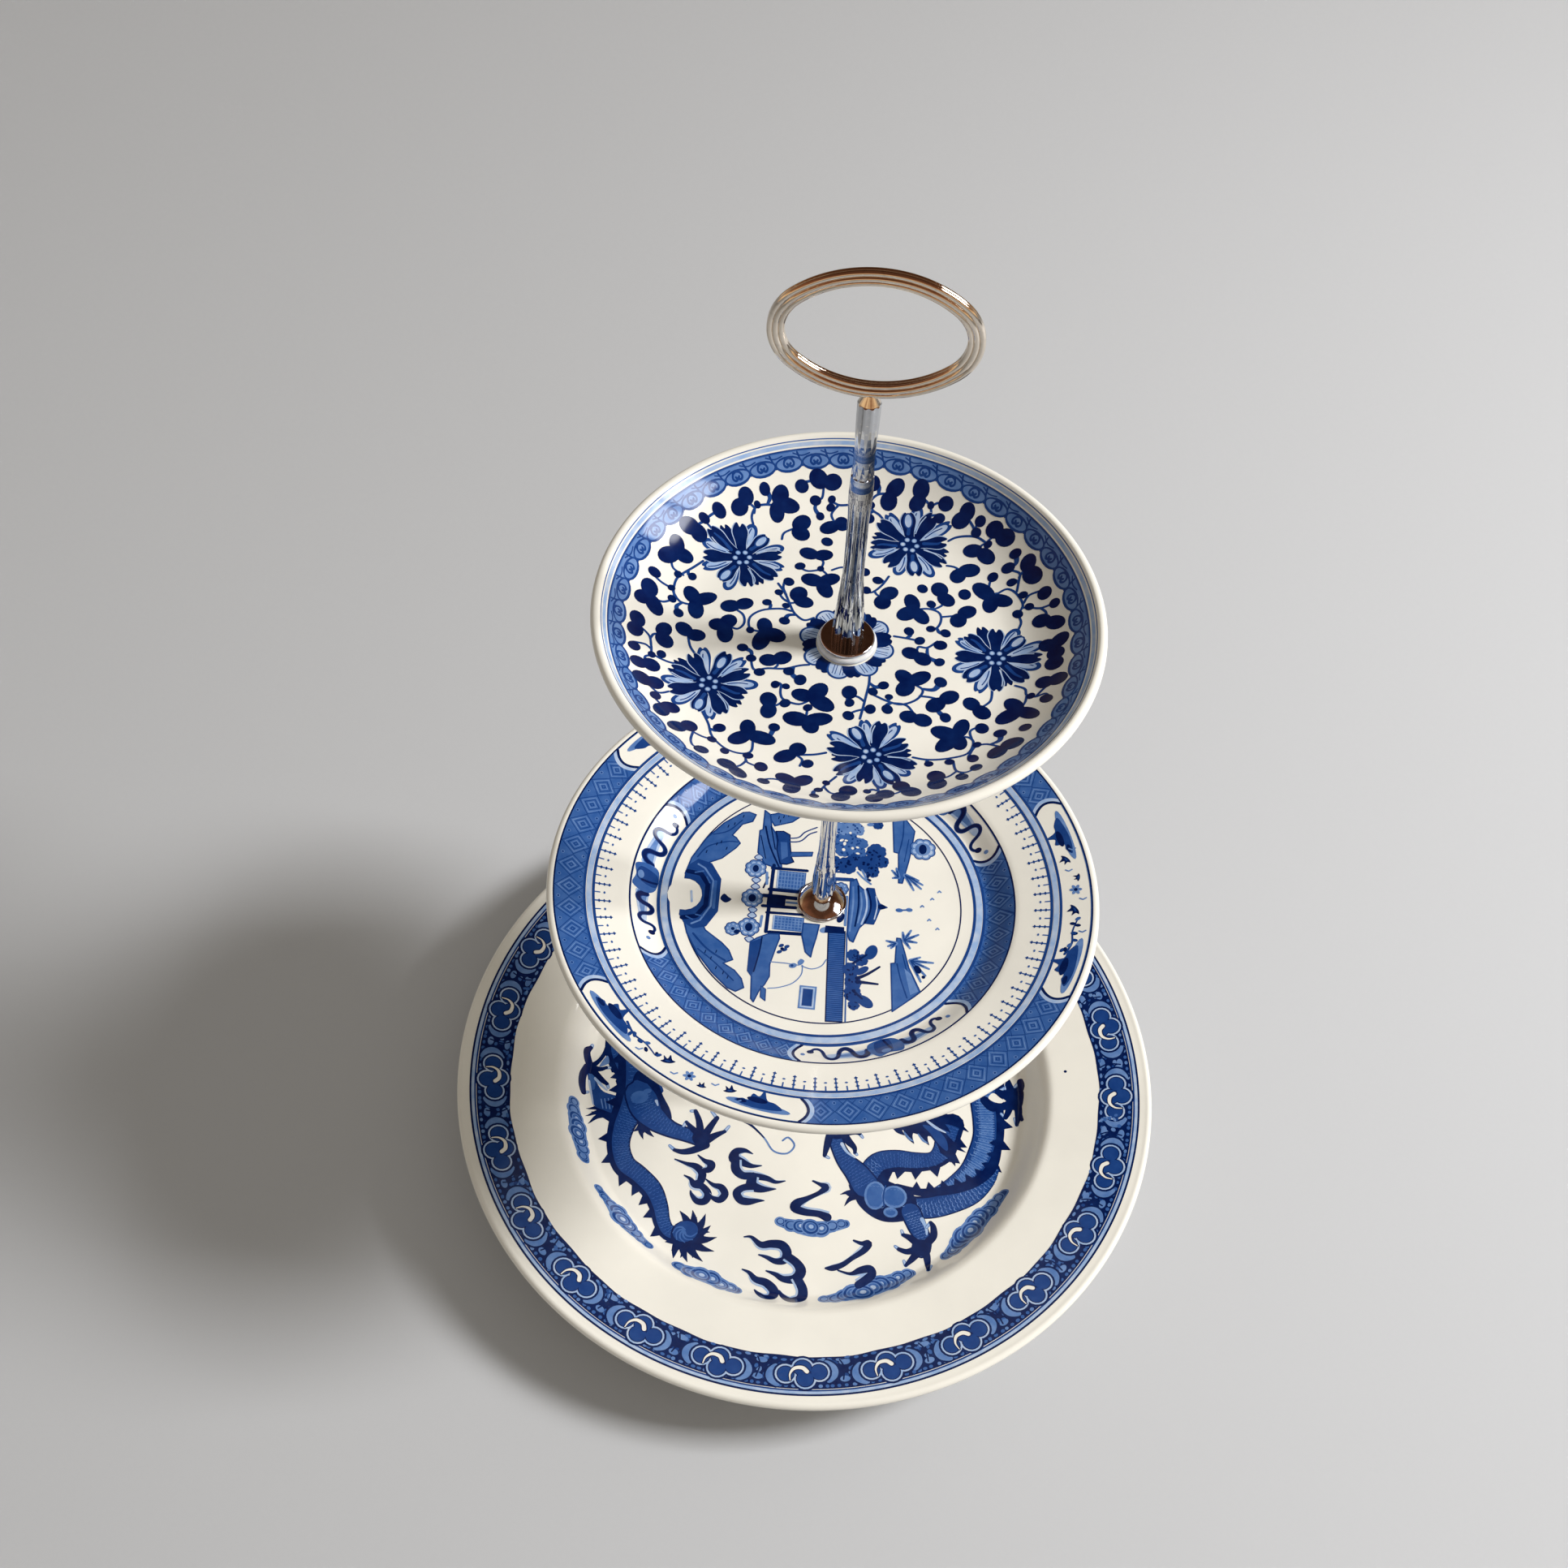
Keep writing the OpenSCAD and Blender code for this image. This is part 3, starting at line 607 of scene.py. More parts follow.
# Stems, by points on their middle lines.
STEMS = (
    ((-42, 24), (-44, 21.5), (-48, 16.5), (-48.8, 12.5), (-48.5, 9), (-51, 6.5), (-54, 6.6)),
    ((-48.9, 12), (-52, 12.6), (-54.5, 13.8)), ((-46.8, 17.5), (-49.7, 18.6), (-50.6, 21)),
    ((-48.8, 11), (-46.6, 8.4), (-43, 8.2)),
    ((-29.5, 39.5), (-30.2, 42), (-29.3, 44.8), (-26.8, 46.2), (-24, 46.6)),
    ((-40.5, 34.5), (-42.8, 35.9), (-44.5, 34.6)), ((-42.6, 37), (-41.5, 38.4), (-40.4, 39.6)),
    ((-21, 36.3), (-20.6, 38.6), (-18, 40.6)),
    ((-20.5, 19.5), (-18.2, 16), (-16.5, 12), (-15, 9), (-12.2, 6.8), (-9.6, 8)),
    ((-16, 9.7), (-19, 10.2), (-24, 9), (-27, 6), (-26.6, 2), (-23.6, 1.2)),
    ((-31, 8.4), (-28.9, 6.6), (-28.4, 3.6), (-30, 1.4), (-32.4, 2.2)),
    ((-16.5, 12.6), (-18.5, 13.9), (-20, 16)), ((-10.8, 55), (-10.9, 51.4), (-12.6, 50.8)),
    ((-14.2, 55.4), (-15.8, 54.8), (-17, 54.4)), ((-8.2, 51), (-6, 50), (-3, 50.4)),
    ((-18.8, 20.4), (-18.9, 18), (-17.9, 15.6)), ((-31, 45.2), (-29.7, 44.4), (-29.6, 43)),
    ((8, 45.5), (6, 48), (3.8, 49.5), (3.1, 52), (5, 54), (7.8, 54.2)),
    ((20, 45.5), (20.5, 48.5), (20, 51), (18.2, 52.8)), ((20.5, 48.3), (22.4, 48.4)),
    ((20.4, 50.8), (22, 51.6), (24, 51.2)), ((26, 40.5), (28, 41.5), (31, 41.7), (34, 41), (37, 38.6)),
    ((33, 41.6), (32.6, 44), (31.2, 46.2)), ((33, 43), (33.6, 44.8), (34.4, 45.3)),
    ((36.4, 39), (38, 40.4), (39.6, 41)), ((26, 32), (28, 31.7), (29.8, 30.6)),
    ((10, 26), (8.4, 22.6), (6, 19.6), (4, 19.2)), ((6.4, 19.8), (7.2, 18.6), (8.8, 18)),
    ((12.7, 4), (16, 3.7), (19.4, 3.2)),
    ((18.4, 14.6), (21.6, 15.2), (24.4, 14.3), (25.3, 12), (24.6, 9), (22.5, 7)),
    ((25.2, 12.6), (28, 13.3), (30.5, 14)),
    ((46.4, 9.5), (47.1, 12), (46.4, 15), (47.4, 18), (45.5, 22), (43, 23.8), (40.6, 22.6)),
    ((47.2, 17), (49.5, 16.6), (52, 15.8), (55.2, 16.2)), ((52, 15.8), (53.4, 14.2), (53.8, 12)),
    ((47.6, 18.5), (49, 20.8), (52.4, 21.4)), ((43, 30), (46, 28.4), (46, 26), (45.6, 22.6)),
    ((46, 27), (46.8, 28.4), (48, 28.8)), ((38, 24.6), (38.2, 26.4), (38.9, 28)),
    ((24.6, 3.6), (22, 1), (19.6, 1), (19.2, -1)), ((7, -11), (7, -14), (6.5, -18), (6, -22), (5.4, -26)),
    ((8.5, -17.4), (12, -19), (16, -19.8), (20, -17.6), (21.5, -14.2), (19, -12.4)),
    ((20.8, -16.3), (23.6, -16.4), (26.6, -17)), ((14, -19.6), (17.5, -20), (20, -23.4)),
    ((6.2, -20), (4.4, -18.6), (2.6, -18.4)), ((5.8, -22.8), (4, -23.6), (2.6, -24.6)),
    ((40, -12), (39.6, -16), (37, -18.6)),
    ((46, -10.5), (48.5, -12), (49, -14.5), (51.2, -15.6), (53.6, -15.2), (54.6, -17)),
    ((49, -14.8), (48.6, -17), (47.4, -19.4)), ((51.4, -15.4), (53, -13.4), (54.8, -11.6)),
    ((20, -37.4), (24, -38), (29, -37.4), (34, -35.6), (35.5, -31.4), (34.3, -29.4), (32, -29.2)),
    ((34.6, -36), (36, -33), (39, -32.2), (42.6, -34.2)),
    ((30.5, -39), (31.2, -42.6), (33.6, -43.8), (36, -42.4)), ((31.4, -42.8), (29.4, -45), (27.2, -46)),
    ((35, -29.8), (34.6, -27), (37, -25.2)), ((11, -48), (11.6, -51), (12, -54)),
    ((-55.8, -5), (-53, -7), (-52, -10.5), (-51.2, -13), (-47, -14), (-44, -13.6)),
    ((-52.6, -7.6), (-52, -5.8), (-50.6, -5)), ((-56, -11.4), (-53.6, -10.6), (-52, -11.4)),
    ((-43, -3), (-42, -6.6), (-40.4, -9)),
    ((-25.2, -9), (-24, -12.5), (-20.5, -11.6), (-16, -11.2), (-12, -9.6), (-9.5, -9)),
    ((-16.3, -16.8), (-16.2, -20), (-15, -22), (-11, -23), (-8, -21)),
    ((-15.2, -22.4), (-16.8, -24), (-18.4, -24.4)), ((-45.4, -25), (-48, -27), (-50.6, -25.4)),
    ((-36, -29.5), (-34, -33.4), (-32.5, -38), (-29, -41.6), (-25, -42.6), (-22, -41), (-22, -36)),
    ((-37.4, -38), (-37.6, -42), (-36.8, -44.6), (-35, -45)), ((-38.4, -38), (-35, -39.2), (-32.4, -39.2)),
    ((-23, -42.8), (-22.7, -45.6), (-19.4, -46.8)), ((-22.8, -45), (-24, -47.6), (-25.6, -49.4)),
    ((-17.8, -52.2), (-15, -51), (-10.4, -51.6)), ((-9.4, -40), (-5.6, -39.4), (-2.6, -38.4)),
    ((-3, -53), (-1.6, -50), (0.6, -46.6)), ((-8.8, -27.4), (-8.6, -24.2)),
    ((-9, -44), (-8.6, -41.6), (-10.6, -40)), ((-6, 26.4), (-3.4, 27.8), (-0.5, 27.4)),
    ((-9.2, 26.4), (-7.4, 24.6), (-7.6, 22.6)), ((-14.6, 26), (-12.6, 25.2), (-9.6, 26)),
)

# Flowers: place and turn.
FLOWERS = ((-31.4, 27.8, 12), (15.2, 38.6, 55), (40.6, -0.6, 0), (9.2, -38.0, 80), (-35.6, -18.9, 30))


def petal(length, width, notch=0.0, neck=0.12):
    """A petal along +X from the origin, with a pointed tip or a notched one."""
    side = [(0.9, neck * width), (0.45 * length, 0.34 * width), (0.74 * length, 0.5 * width),
            (0.93 * length, 0.36 * width)]
    tip = [(length, 0.0)]
    if notch:
        tip = [(length, 0.16 * width), (length - notch, 0.0), (length - 0.2 * notch, -0.16 * width)]
    return blob(side + tip + [(x, -y) for x, y in reversed(side)])


def flower(art, at, turn, rng):
    """A full flower: narrow pale outlined petals between broad dark notched ones, and a beaded eye."""
    def lay(tone, shapes, heading):
        art.paint(tone, move(shapes, at, heading))

    pairs = 8
    for i in range(pairs):
        heading = turn + 360 * (i + 0.5) / pairs + rng.uniform(-4, 4)
        length = rng.uniform(11.6, 13.2)
        lean = rng.uniform(-5, 5)
        if i % 4 != 2:
            lay(COBALT, petal(length + 0.3, 3.7, rng.choice((0, 0.7)), 0.06), heading + lean)
            lay(WASH, petal(length - 0.9, 2.2, neck=0.05), heading + lean)
            lay(COBALT, stroke([(5, 0.1), (8, 0.5), (10.4, 0.2)], 0.35), heading + lean)
        else:
            lay(NAVY, petal(length - 1.2, 3.6, 1.2, 0.1), heading)
    for i in range(pairs):
        heading = turn + 360 * i / pairs + rng.uniform(-4, 4)
        length = rng.uniform(10.4, 12.4)
        notch = rng.choice((0.8, 1.3, 1.8))
        width = rng.uniform(3.9, 4.6)
        lay(WASH, petal(length + 0.1, width + 0.6, notch, 0.2), heading)
        lay(NAVY, petal(length, width, notch, 0.22), heading)
        if i % 2:
            lay(COBALT, stroke([(4, 0.2), (7.5, -0.3), (length - 2, 0)], 1.1, 0.5), heading)
        if i % 4 == 1:
            lay(COBALT, [oval((8.1, 0), 2.5, 1.35)], heading)
            lay(WASH, [oval((8.1, 0), 2.0, 0.95)], heading)
        if i % 3 == 0:
            lay(WASH, stroke([(4.2, 1.0), (7.4, 1.7), (10, 1.5)], 0.32), heading)
    art.dot(NAVY, at, 3.3)
    for i in range(6):
        bead = beside(at, 2.0, turn + 60 * i)
        art.dot(SOFT, bead, 0.75)
        art.dot(WASH, bead, 0.5)


def lobe(base, tip, width):
    """One oval lobe of a leaf, from just behind its base to a round end about tip."""
    reach = math.dist(base, tip)
    back, ahead = 0.7, width
    half = 0.5 * (reach + back + ahead)
    heading = math.degrees(math.atan2(tip[1] - base[1], tip[0] - base[0]))
    return oval(toward(base, tip, (half - back) / reach), half, width, heading)


def stalk(start, ways, foot=STEM_W):
    """A short bowed stalk from start, foot wide there, to the nearest stem, if one is in reach."""
    length, end = min((math.dist(start, p), p) for p in ways)
    if not 0.5 <= length <= STALK_REACH:
        return []
    bow = 0.28
    middle = (0.5 * (start[0] + end[0]) - bow * (end[1] - start[1]),
              0.5 * (start[1] + end[1]) + bow * (end[0] - start[0]))
    return stroke([start, middle, end], foot, STEM_W)


def middle_blossom(art, rng):
    """The blossom round the column: dark petals and pale striped ones by turns."""
    pairs = 8
    for i in range(pairs):
        turn = 360 * (i + 0.5) / pairs + 14
        art.paint(COBALT, move(petal(13.2, 6.4), turn=turn))
        art.paint(WASH, move(petal(12.6, 5.5), turn=turn))
        for lean in (-9, -4, 4, 9):
            art.bar(COBALT, [spot(8.3, turn + lean), spot(11.6, turn + 0.8 * lean)], 0.22)
        art.paint(NAVY, move(petal(12.2 + rng.uniform(0, 0.8), 5.6, 0.5), turn=turn + 22.5))


def scroll_border(art, inner, outer, heads):
    """A band of cloud heads: mid-blue, scalloped inward, with dark outlines and curls."""
    pitch = 360 / heads
    height = outer - inner
    reach = math.radians(pitch) * inner
    art.paint(MID, ring(inner + 0.25 * height, outer))
    art.paint(SOFT, ring(inner + 0.55 * height, outer - 0.35))
    for i in range(heads):
        turn = pitch * i
        at = spot(inner + 0.34 * height, turn)
        art.dot(COBALT, at, 0.42 * height, 0.53 * reach, turn)
    for i in range(heads):
        turn = pitch * i
        at = spot(inner + 0.36 * height, turn)
        art.dot(SOFT, at, 0.42 * height - 0.55, 0.53 * reach - 0.5, turn)
        for side in (-1, 1):
            curl = [(0.95, 0.1), (0.55, 0.95), (-0.45, 1.35), (-1.05, 0.75), (-0.75, 0.15), (-0.3, 0.5)]
            drawn = [(x * height / 4.5, side * y * reach / 7) for x, y in curl]
            centre = spot(inner + 0.46 * height, turn)
            art.paint(COBALT, move(stroke(drawn, 0.62), centre, turn))
        joint = turn + pitch / 2
        fork = [spot(inner + 0.22 * height, joint), spot(outer - 0.5, joint + 0.15 * pitch)]
        art.bar(COBALT, fork, 0.55)
        art.line(COBALT, [spot(outer - 0.9, joint - 0.3 * pitch), spot(outer - 1.3, joint),
                          spot(outer - 0.6, joint + 0.3 * pitch)], 0.3)
    art.paint(COBALT, line_ring(outer, 0.3))


def upper_painting(plate):
    """Five flowers among leaf scrolls, inside a cloud border on the wall."""
    rng = random.Random(7)
    art = Painting(plate)
    scroll_border(art, 60.0, 64.4, 49)
    art.paint(WASH, ring(64.9, 65.7))
    art.paint(MID, line_ring(66.1, 0.22))
    for path in STEMS:
        art.line(COBALT, path, STEM_W)
    ways = [p for path in STEMS for p in spline(path)]
    for x, y, radius in BUDS:
        art.paint(COBALT, stalk((x, y), ways, 1.15 * radius))
    for base, *_ in LEAVES:
        art.paint(COBALT, stalk(base, ways))
    middle_blossom(art, rng)
    for x, y, turn in FLOWERS:
        flower(art, (x, y), turn, rng)
    for base, *lobes in LEAVES:
        for tip in lobes:
            art.paint(NAVY, [lobe(base, tip, LOBE_R * rng.uniform(0.92, 1.08))])
    for x, y, radius in BUDS:
        art.dot(NAVY, (x, y), 1.12 * radius, radius, rng.uniform(0, 180))
    art.dot(BARE, (0, 0), WIPE_R, steps=48)
    return art


# ------------------------------------------------------------------ lower plate: dragons and flames

HEADS = 25                     # cloud heads in the border

# Bodies and limbs are (x, y, width) along their middle lines, in millimetres.
LEFT_BODY = ((-46, 47, 9), (-57, 41, 11), (-64.5, 30, 12.5), (-66, 18, 13), (-64.5, 8, 13), (-62.5, -5, 14),
             (-63.5, -14, 12.5), (-65.5, -22, 10), (-65.6, -30, 8.6), (-62.6, -37.3, 8.8),
             (-57, -41.2, 8.4), (-51.4, -46, 8), (-48, -52, 7), (-46, -58, 6.2), (-43.2, -61.8, 6.2),
             (-38, -62.4, 7.5))
LEFT_ARM = ((-61, -8, 10), (-58, -14, 10), (-53, -18.4, 8.2), (-47.5, -21.4, 5.6), (-41, -23, 4.8),
            (-36.5, -23.6, 6))
OUTER_LOOP = ((46, 47, 9), (57, 41, 11), (65.5, 30, 12.5), (68.5, 18, 13), (68.2, 5, 12.5), (69.2, -4, 12),
              (69.4, -12, 11.6), (67.5, -20, 11.5), (63.6, -27, 9.5), (57.6, -32.4, 7), (51, -35.6, 3))
LOWER_LOOP = ((72.6, -24, 3), (69.4, -29.4, 6), (64, -35, 8.4), (57, -39, 9), (50, -41.8, 9),
              (44, -42.6, 8.6), (39, -41.6, 8))
RIDGE = ((73.4, -8, 2), (73.2, -17, 2.6), (71, -24.4, 3.6), (66, -29.8, 3.8), (59.6, -33.4, 3.6),
         (52, -35.6, 3.4), (45, -36.6, 3), (37, -35.4, 2.6))
INNER_LOOP = ((56, -8, 9), (54.4, -14.6, 9), (53.2, -19.6, 8.4), (49.6, -23.4, 7), (43, -24.8, 8),
              (36, -25, 8.8), (30, -27, 9.4), (27, -32, 9), (26.6, -38, 8))
RIGHT_ARM = ((25.5, -36, 9.4), (22, -31.4, 8), (17.6, -27, 5.8), (14.6, -22, 4.6), (13, -17.6, 4.6))
RIGHT_LEG = ((42.4, -44.6, 6.6), (45, -50, 6), (47.4, -55, 5), (47, -58.6, 5.6))

# Fingers: the middle line of each, its widths, and where its pale nail lies.
FINGERS = (
    (((-37.6, -21.8, 2.6), (-39.6, -20.2, 2.2), (-42, -17.9, 1.2)), (-42.9, -19.6)),
    (((-36.4, -21.6, 3), (-37.4, -17, 2.4), (-39.2, -13, 1.6)), (-40.9, -13.2)),
    (((-34.2, -21.4, 3), (-32.6, -18, 2.4), (-31, -15, 1.8)), (-33.2, -12.6)),
    (((-33.6, -24.2, 3.4), (-30.6, -22, 2.4), (-27.6, -20.2, 1.4)), (-26.2, -17.9)),
    (((-33.8, -26.4, 3), (-38.4, -29, 2.8), (-42, -30, 2.2), (-45, -29.6, 1.4)), (-47, -28)),
    (((11.4, -15.6, 2.6), (10.8, -19, 2.8), (10.2, -23, 2.2), (9.8, -25.8, 1.4)), (11.4, -26.6)),
    (((12, -15.8, 3), (16, -15.8, 3), (20, -15, 2.4), (22, -15.6, 1.4)), (23.2, -17)),
    (((15.4, -15.6, 3.4), (18, -19, 3), (20.4, -21.4, 2), (20.8, -23.4, 1.2)), (21.6, -24.2)),
    (((48.8, -56, 3), (51, -53, 2.8), (50.8, -49.6, 2.2), (49.8, -48, 1.4)), (48.4, -50)),
    (((48, -58.6, 3.2), (49.2, -62, 2.6), (49.6, -67.4, 1)), (50.6, -65)),
    (((46, -59.4, 3.2), (44, -62.4, 2.4), (41.8, -65.2, 1.2)), (41, -63.6)),
    (((45.4, -58.6, 3), (42, -60, 2.2), (39, -59.4, 1.6)), (37.6, -58.4)),
    (((45.4, -56.4, 3), (42.6, -54.6, 2.4), (40.2, -53.8, 1.4)), (39.6, -52.2)),
    (((77.4, 3, 3), (76.6, -0.6, 2.4), (75.6, -3, 1.8)), (74, -1.6)),
    (((80, 3, 3), (80.4, -1.6, 2.6), (79.9, -5.6, 1.2)), (79, -3)),
    (((77, 5, 3.2), (74.6, 6.6, 3), (72.8, 7.6, 2)), (75, 9.4)),
    (((77.6, 8, 3), (76.6, 10.6, 2.8), (76.2, 12.4, 2)), (75.2, 9)),
    (((79.6, 7, 3.6), (81, 10, 2.6), (80.6, 12.4, 2.2)), (78.8, 10.2)),
    (((-80.6, 1, 2.8), (-82, 4, 2.8), (-82.5, 6.6, 2.4), (-81.4, 8.6, 1.4)), (-81, 9.8)),
    (((-81.6, 0.4, 2.6), (-82.6, -3.6, 2.6), (-82.3, -7.6, 2.6), (-81.4, -10.4, 2)), (-79.8, -9.6)),
    (((-79.6, 0.6, 2.6), (-76.8, 0.4, 1.9), (-74.6, 1.3, 1.3)), (-73.2, 1.4)),
    (((-79.4, -0.4, 2.6), (-77.2, -2.4, 2.2), (-75.2, -4.2, 2), (-73.4, -5.4, 1.4)), (-72.6, -7)),
)

# Flames and wisps, as bodies too.
FLAMES = (
    ((-44.4, -33.2, 0.5), (-40, -34.5, 1.4), (-36.4, -35.3, 2.6), (-33.9, -37.6, 3), (-34.2, -41, 2.8),
     (-36.4, -42, 1.8)),
    ((-36.2, -30.7, 0.5), (-33.6, -32.6, 1.6), (-31, -33.8, 3), (-31.6, -36, 2.6), (-34, -36.6, 1.6)),
    ((-40.2, -39.2, 0.5), (-37.8, -40.4, 1.4), (-36.2, -42.4, 2.6), (-33.4, -42.8, 2.6),
     (-30.9, -45.4, 2.8), (-31.6, -48.4, 2.8), (-34.4, -48.8, 2.4), (-36.6, -46.6, 1.4), (-37.3, -45, 0.5)),
    ((-32.2, -39.9, 0.5), (-29.4, -41.8, 1.6), (-26.4, -42.5, 2.6), (-24.8, -45, 2.8), (-26.4, -47.4, 2.6),
     (-29, -46.9, 1.6), (-30.5, -45.3, 0.5)),
    ((-16.4, -28, 0.4), (-19.4, -27, 1.8), (-22.4, -27.8, 3), (-23, -30.6, 4), (-20, -31.8, 3),
     (-16.4, -32.9, 1.8), (-12.7, -32.4, 0.4)),
    ((-22.4, -31, 3), (-21.9, -34.8, 3.4), (-19.2, -37, 3), (-15.4, -36.8, 2.8), (-10.4, -37.2, 2.2),
     (-7, -38.3, 1.4), (-3.6, -37.5, 0.4)),
    ((-15.4, -36.8, 3), (-15.6, -40.4, 4), (-11.8, -41.6, 2.8), (-6.7, -41, 0.4)),
    ((-15, -40.8, 3), (-18.6, -41.8, 2.6), (-20.6, -44, 3), (-19, -46.6, 3), (-16.2, -47, 2.8),
     (-13, -46.3, 1.6), (-10.5, -46, 0.4)),
    ((-16.2, -60.6, 0.5), (-13.6, -60.4, 1.2), (-10, -62.9, 2.4), (-6.4, -62.2, 3), (-2.6, -62.3, 3.4),
     (-0.5, -64.8, 3.4), (-1.2, -67.8, 3), (-4.2, -68.6, 2.2), (-7.6, -67.4, 1.4), (-10.4, -66.8, 0.5)),
    ((-0.6, -66, 3), (3.2, -68.4, 3.2), (5, -71.4, 3.8), (3.2, -74.4, 3.4), (-0.8, -74.9, 2.4),
     (-4, -73.4, 1.6), (-7.2, -72.5, 0.5)),
    ((3.6, -73.6, 3), (6.2, -78, 3.4), (5.8, -81.8, 3.6), (2.2, -83.4, 3), (-0.6, -81.4, 2),
     (-2, -79.4, 0.8)),
    ((-15.6, -72.8, 0.5), (-13, -73.8, 1.4), (-10.6, -76, 2.4), (-6.8, -76.9, 3), (-3.8, -79.6, 3.4),
     (-4.4, -82.6, 3.2), (-7, -83.2, 2.6), (-9.4, -81.4, 1.6), (-10.6, -80, 0.5)),
    ((6.4, -36.4, 0.7), (9, -37.4, 1.4), (11.2, -38.4, 2.8), (9.2, -40.7, 1.8), (5, -43.4, 2),
     (1.6, -45.6, 3.4), (0.8, -47.6, 3.4), (4.4, -48.8, 2.8), (9.4, -49, 2.6), (12.6, -50, 3.4)),
    ((22.8, -57.8, 0.8), (25.6, -58.6, 1.6), (28, -58.4, 2.8), (26.6, -61.2, 2.4), (22.6, -64.6, 1.8),
     (19.4, -67.4, 2), (16, -69, 2.2), (13.6, -69.3, 0.8)),
    ((18, -69.6, 0.6), (22.4, -70.4, 1.2), (25.8, -68.8, 2.6), (29, -67.9, 3), (30, -69.8, 3.2),
     (28, -72.2, 3.2), (25.6, -74.2, 3)),
)

# Banks of cloud, as bodies too.
CLOUDS = (
    ((-84, -16.6, 3), (-82.6, -22, 4.6), (-80.6, -28, 5.6), (-78.6, -34, 4.6), (-76.4, -39.6, 3.2)),
    ((-69.8, -50.2, 2.4), (-65.4, -54.6, 3.6), (-60.6, -59.4, 7), (-56, -64.4, 5), (-52, -67.4, 3.4),
     (-49.4, -69.4, 3)),
    ((-37.6, -76, 4.4), (-31, -77.4, 7), (-25.4, -79, 6.8), (-20, -81, 5.4), (-17, -82, 4.4)),
    ((14, -81.8, 3.4), (20, -80, 5.4), (26, -77.6, 7.4), (31.6, -75.2, 7.4), (37, -72.2, 6.4),
     (41.4, -69.6, 4.6), (43.8, -68.2, 3)),
    ((56, -60.8, 3.4), (60.4, -55, 6.4), (64, -49.8, 7.4), (68, -44.4, 6.4), (72, -39.2, 4.6),
     (75.6, -34.4, 2.8)),
    ((-4, -53.6, 3), (1, -54.4, 4.4), (8, -55, 6), (13.6, -53.6, 4.4), (19.4, -51.8, 2.8)),
    ((-80, 32, 3), (-75, 40, 6), (-68, 48, 6.5), (-62, 53, 3)),
    ((80, 32, 3), (75, 40, 6), (68, 48, 6.5), (62, 53, 3)),
    ((-36, 75, 3), (-27, 78, 6.5), (-18, 80, 6), (-10, 80.5, 3)),
    ((36, 75, 3), (27, 78, 6.5), (18, 80, 6), (10, 80.5, 3)),
    ((-12, 30, 3), (-4, 28, 5), (4, 28.5, 5.5), (12, 31, 3)),
)


def sides(line):
    """Unit vectors to the left of the way along a line."""
    last = len(line) - 1
    found = []
    for i in range(last + 1):
        ax, ay = line[max(i - 1, 0)][:2]
        bx, by = line[min(i + 1, last)][:2]
        length = math.hypot(bx - ax, by - ay) or 1e-6
        found.append(((ay - by) / length, (bx - ax) / length))
    return found


def body_line(points, steps):
    """Stations along a body: place, half width and unit vector to the left."""
    line = spline(points, False, steps)
    return [(x, y, width / 2, nx, ny) for (x, y, width), (nx, ny) in zip(line, sides(line))]


def band(points, low=-1.0, high=1.0, steps=5):
    """A strip along a body, from share low of its half width to share high. Left is positive."""
    stations = body_line(points, steps)
    edge = [(x + nx * low * half, y + ny * low * half) for x, y, half, nx, ny in stations]
    other = [(x + nx * high * half, y + ny * high * half) for x, y, half, nx, ny in stations]
    strip = [[a, b, c, d] for a, b, c, d in zip(edge, edge[1:], other[1:], other)]
    ends = [oval((x, y), half, steps=12) for x, y, half, _, _ in (stations[0], stations[-1])]
    return strip + (ends if low == -1 and high == 1 else [])


def widened(points, extra, times=1):
    """A body's points with other widths: times as wide, plus extra."""
    return [(x, y, times * width + extra) for x, y, width in points]


def resample(stations, pitch):
    """Stations about pitch apart."""
    kept, gone = [stations[0]], 0.0
    for before, after in zip(stations, stations[1:]):
        gone += math.dist(before[:2], after[:2])
        if gone >= pitch:
            kept.append(after)
            gone = 0.0
    return kept


def scales(points, low, high, size, rng):
    """Rows of small crescents over part of a body's width."""
    shapes = []
    for row, (x, y, half, nx, ny) in enumerate(resample(body_line(points, 16), 0.62 * size)):
        across = (high - low) * half
        count = max(1, round(across / size))
        for k in range(count):
            share = low + (high - low) * (k + 0.5 + 0.5 * (row % 2)) / count
            if share > high:
                continue
            cx, cy = x + nx * share * half, y + ny * share * half
            reach = 0.5 * size * rng.uniform(0.8, 1.05)
            heading = math.degrees(math.atan2(-nx, ny))
            bow = [(reach * math.cos(a), reach * math.sin(a)) for a in (-1.25, -0.6, 0, 0.6, 1.25)]
            hollow = [(reach * (0.62 * math.cos(a) + 0.06), 0.8 * reach * math.sin(a))
                      for a in (1.25, 0.5, -0.5, -1.25)]
            shapes += move([bow + hollow], (cx, cy), heading)
    return shapes


def ribs(points, low, high, pitch, width):
    """Thin lines across part of a body."""
    shapes = []
    for x, y, half, nx, ny in resample(body_line(points, 16), pitch):
        a, b = low * half, high * half
        shapes += stroke([(x + nx * a, y + ny * a), (x + nx * b, y + ny * b)], width, smooth=False)
    return shapes


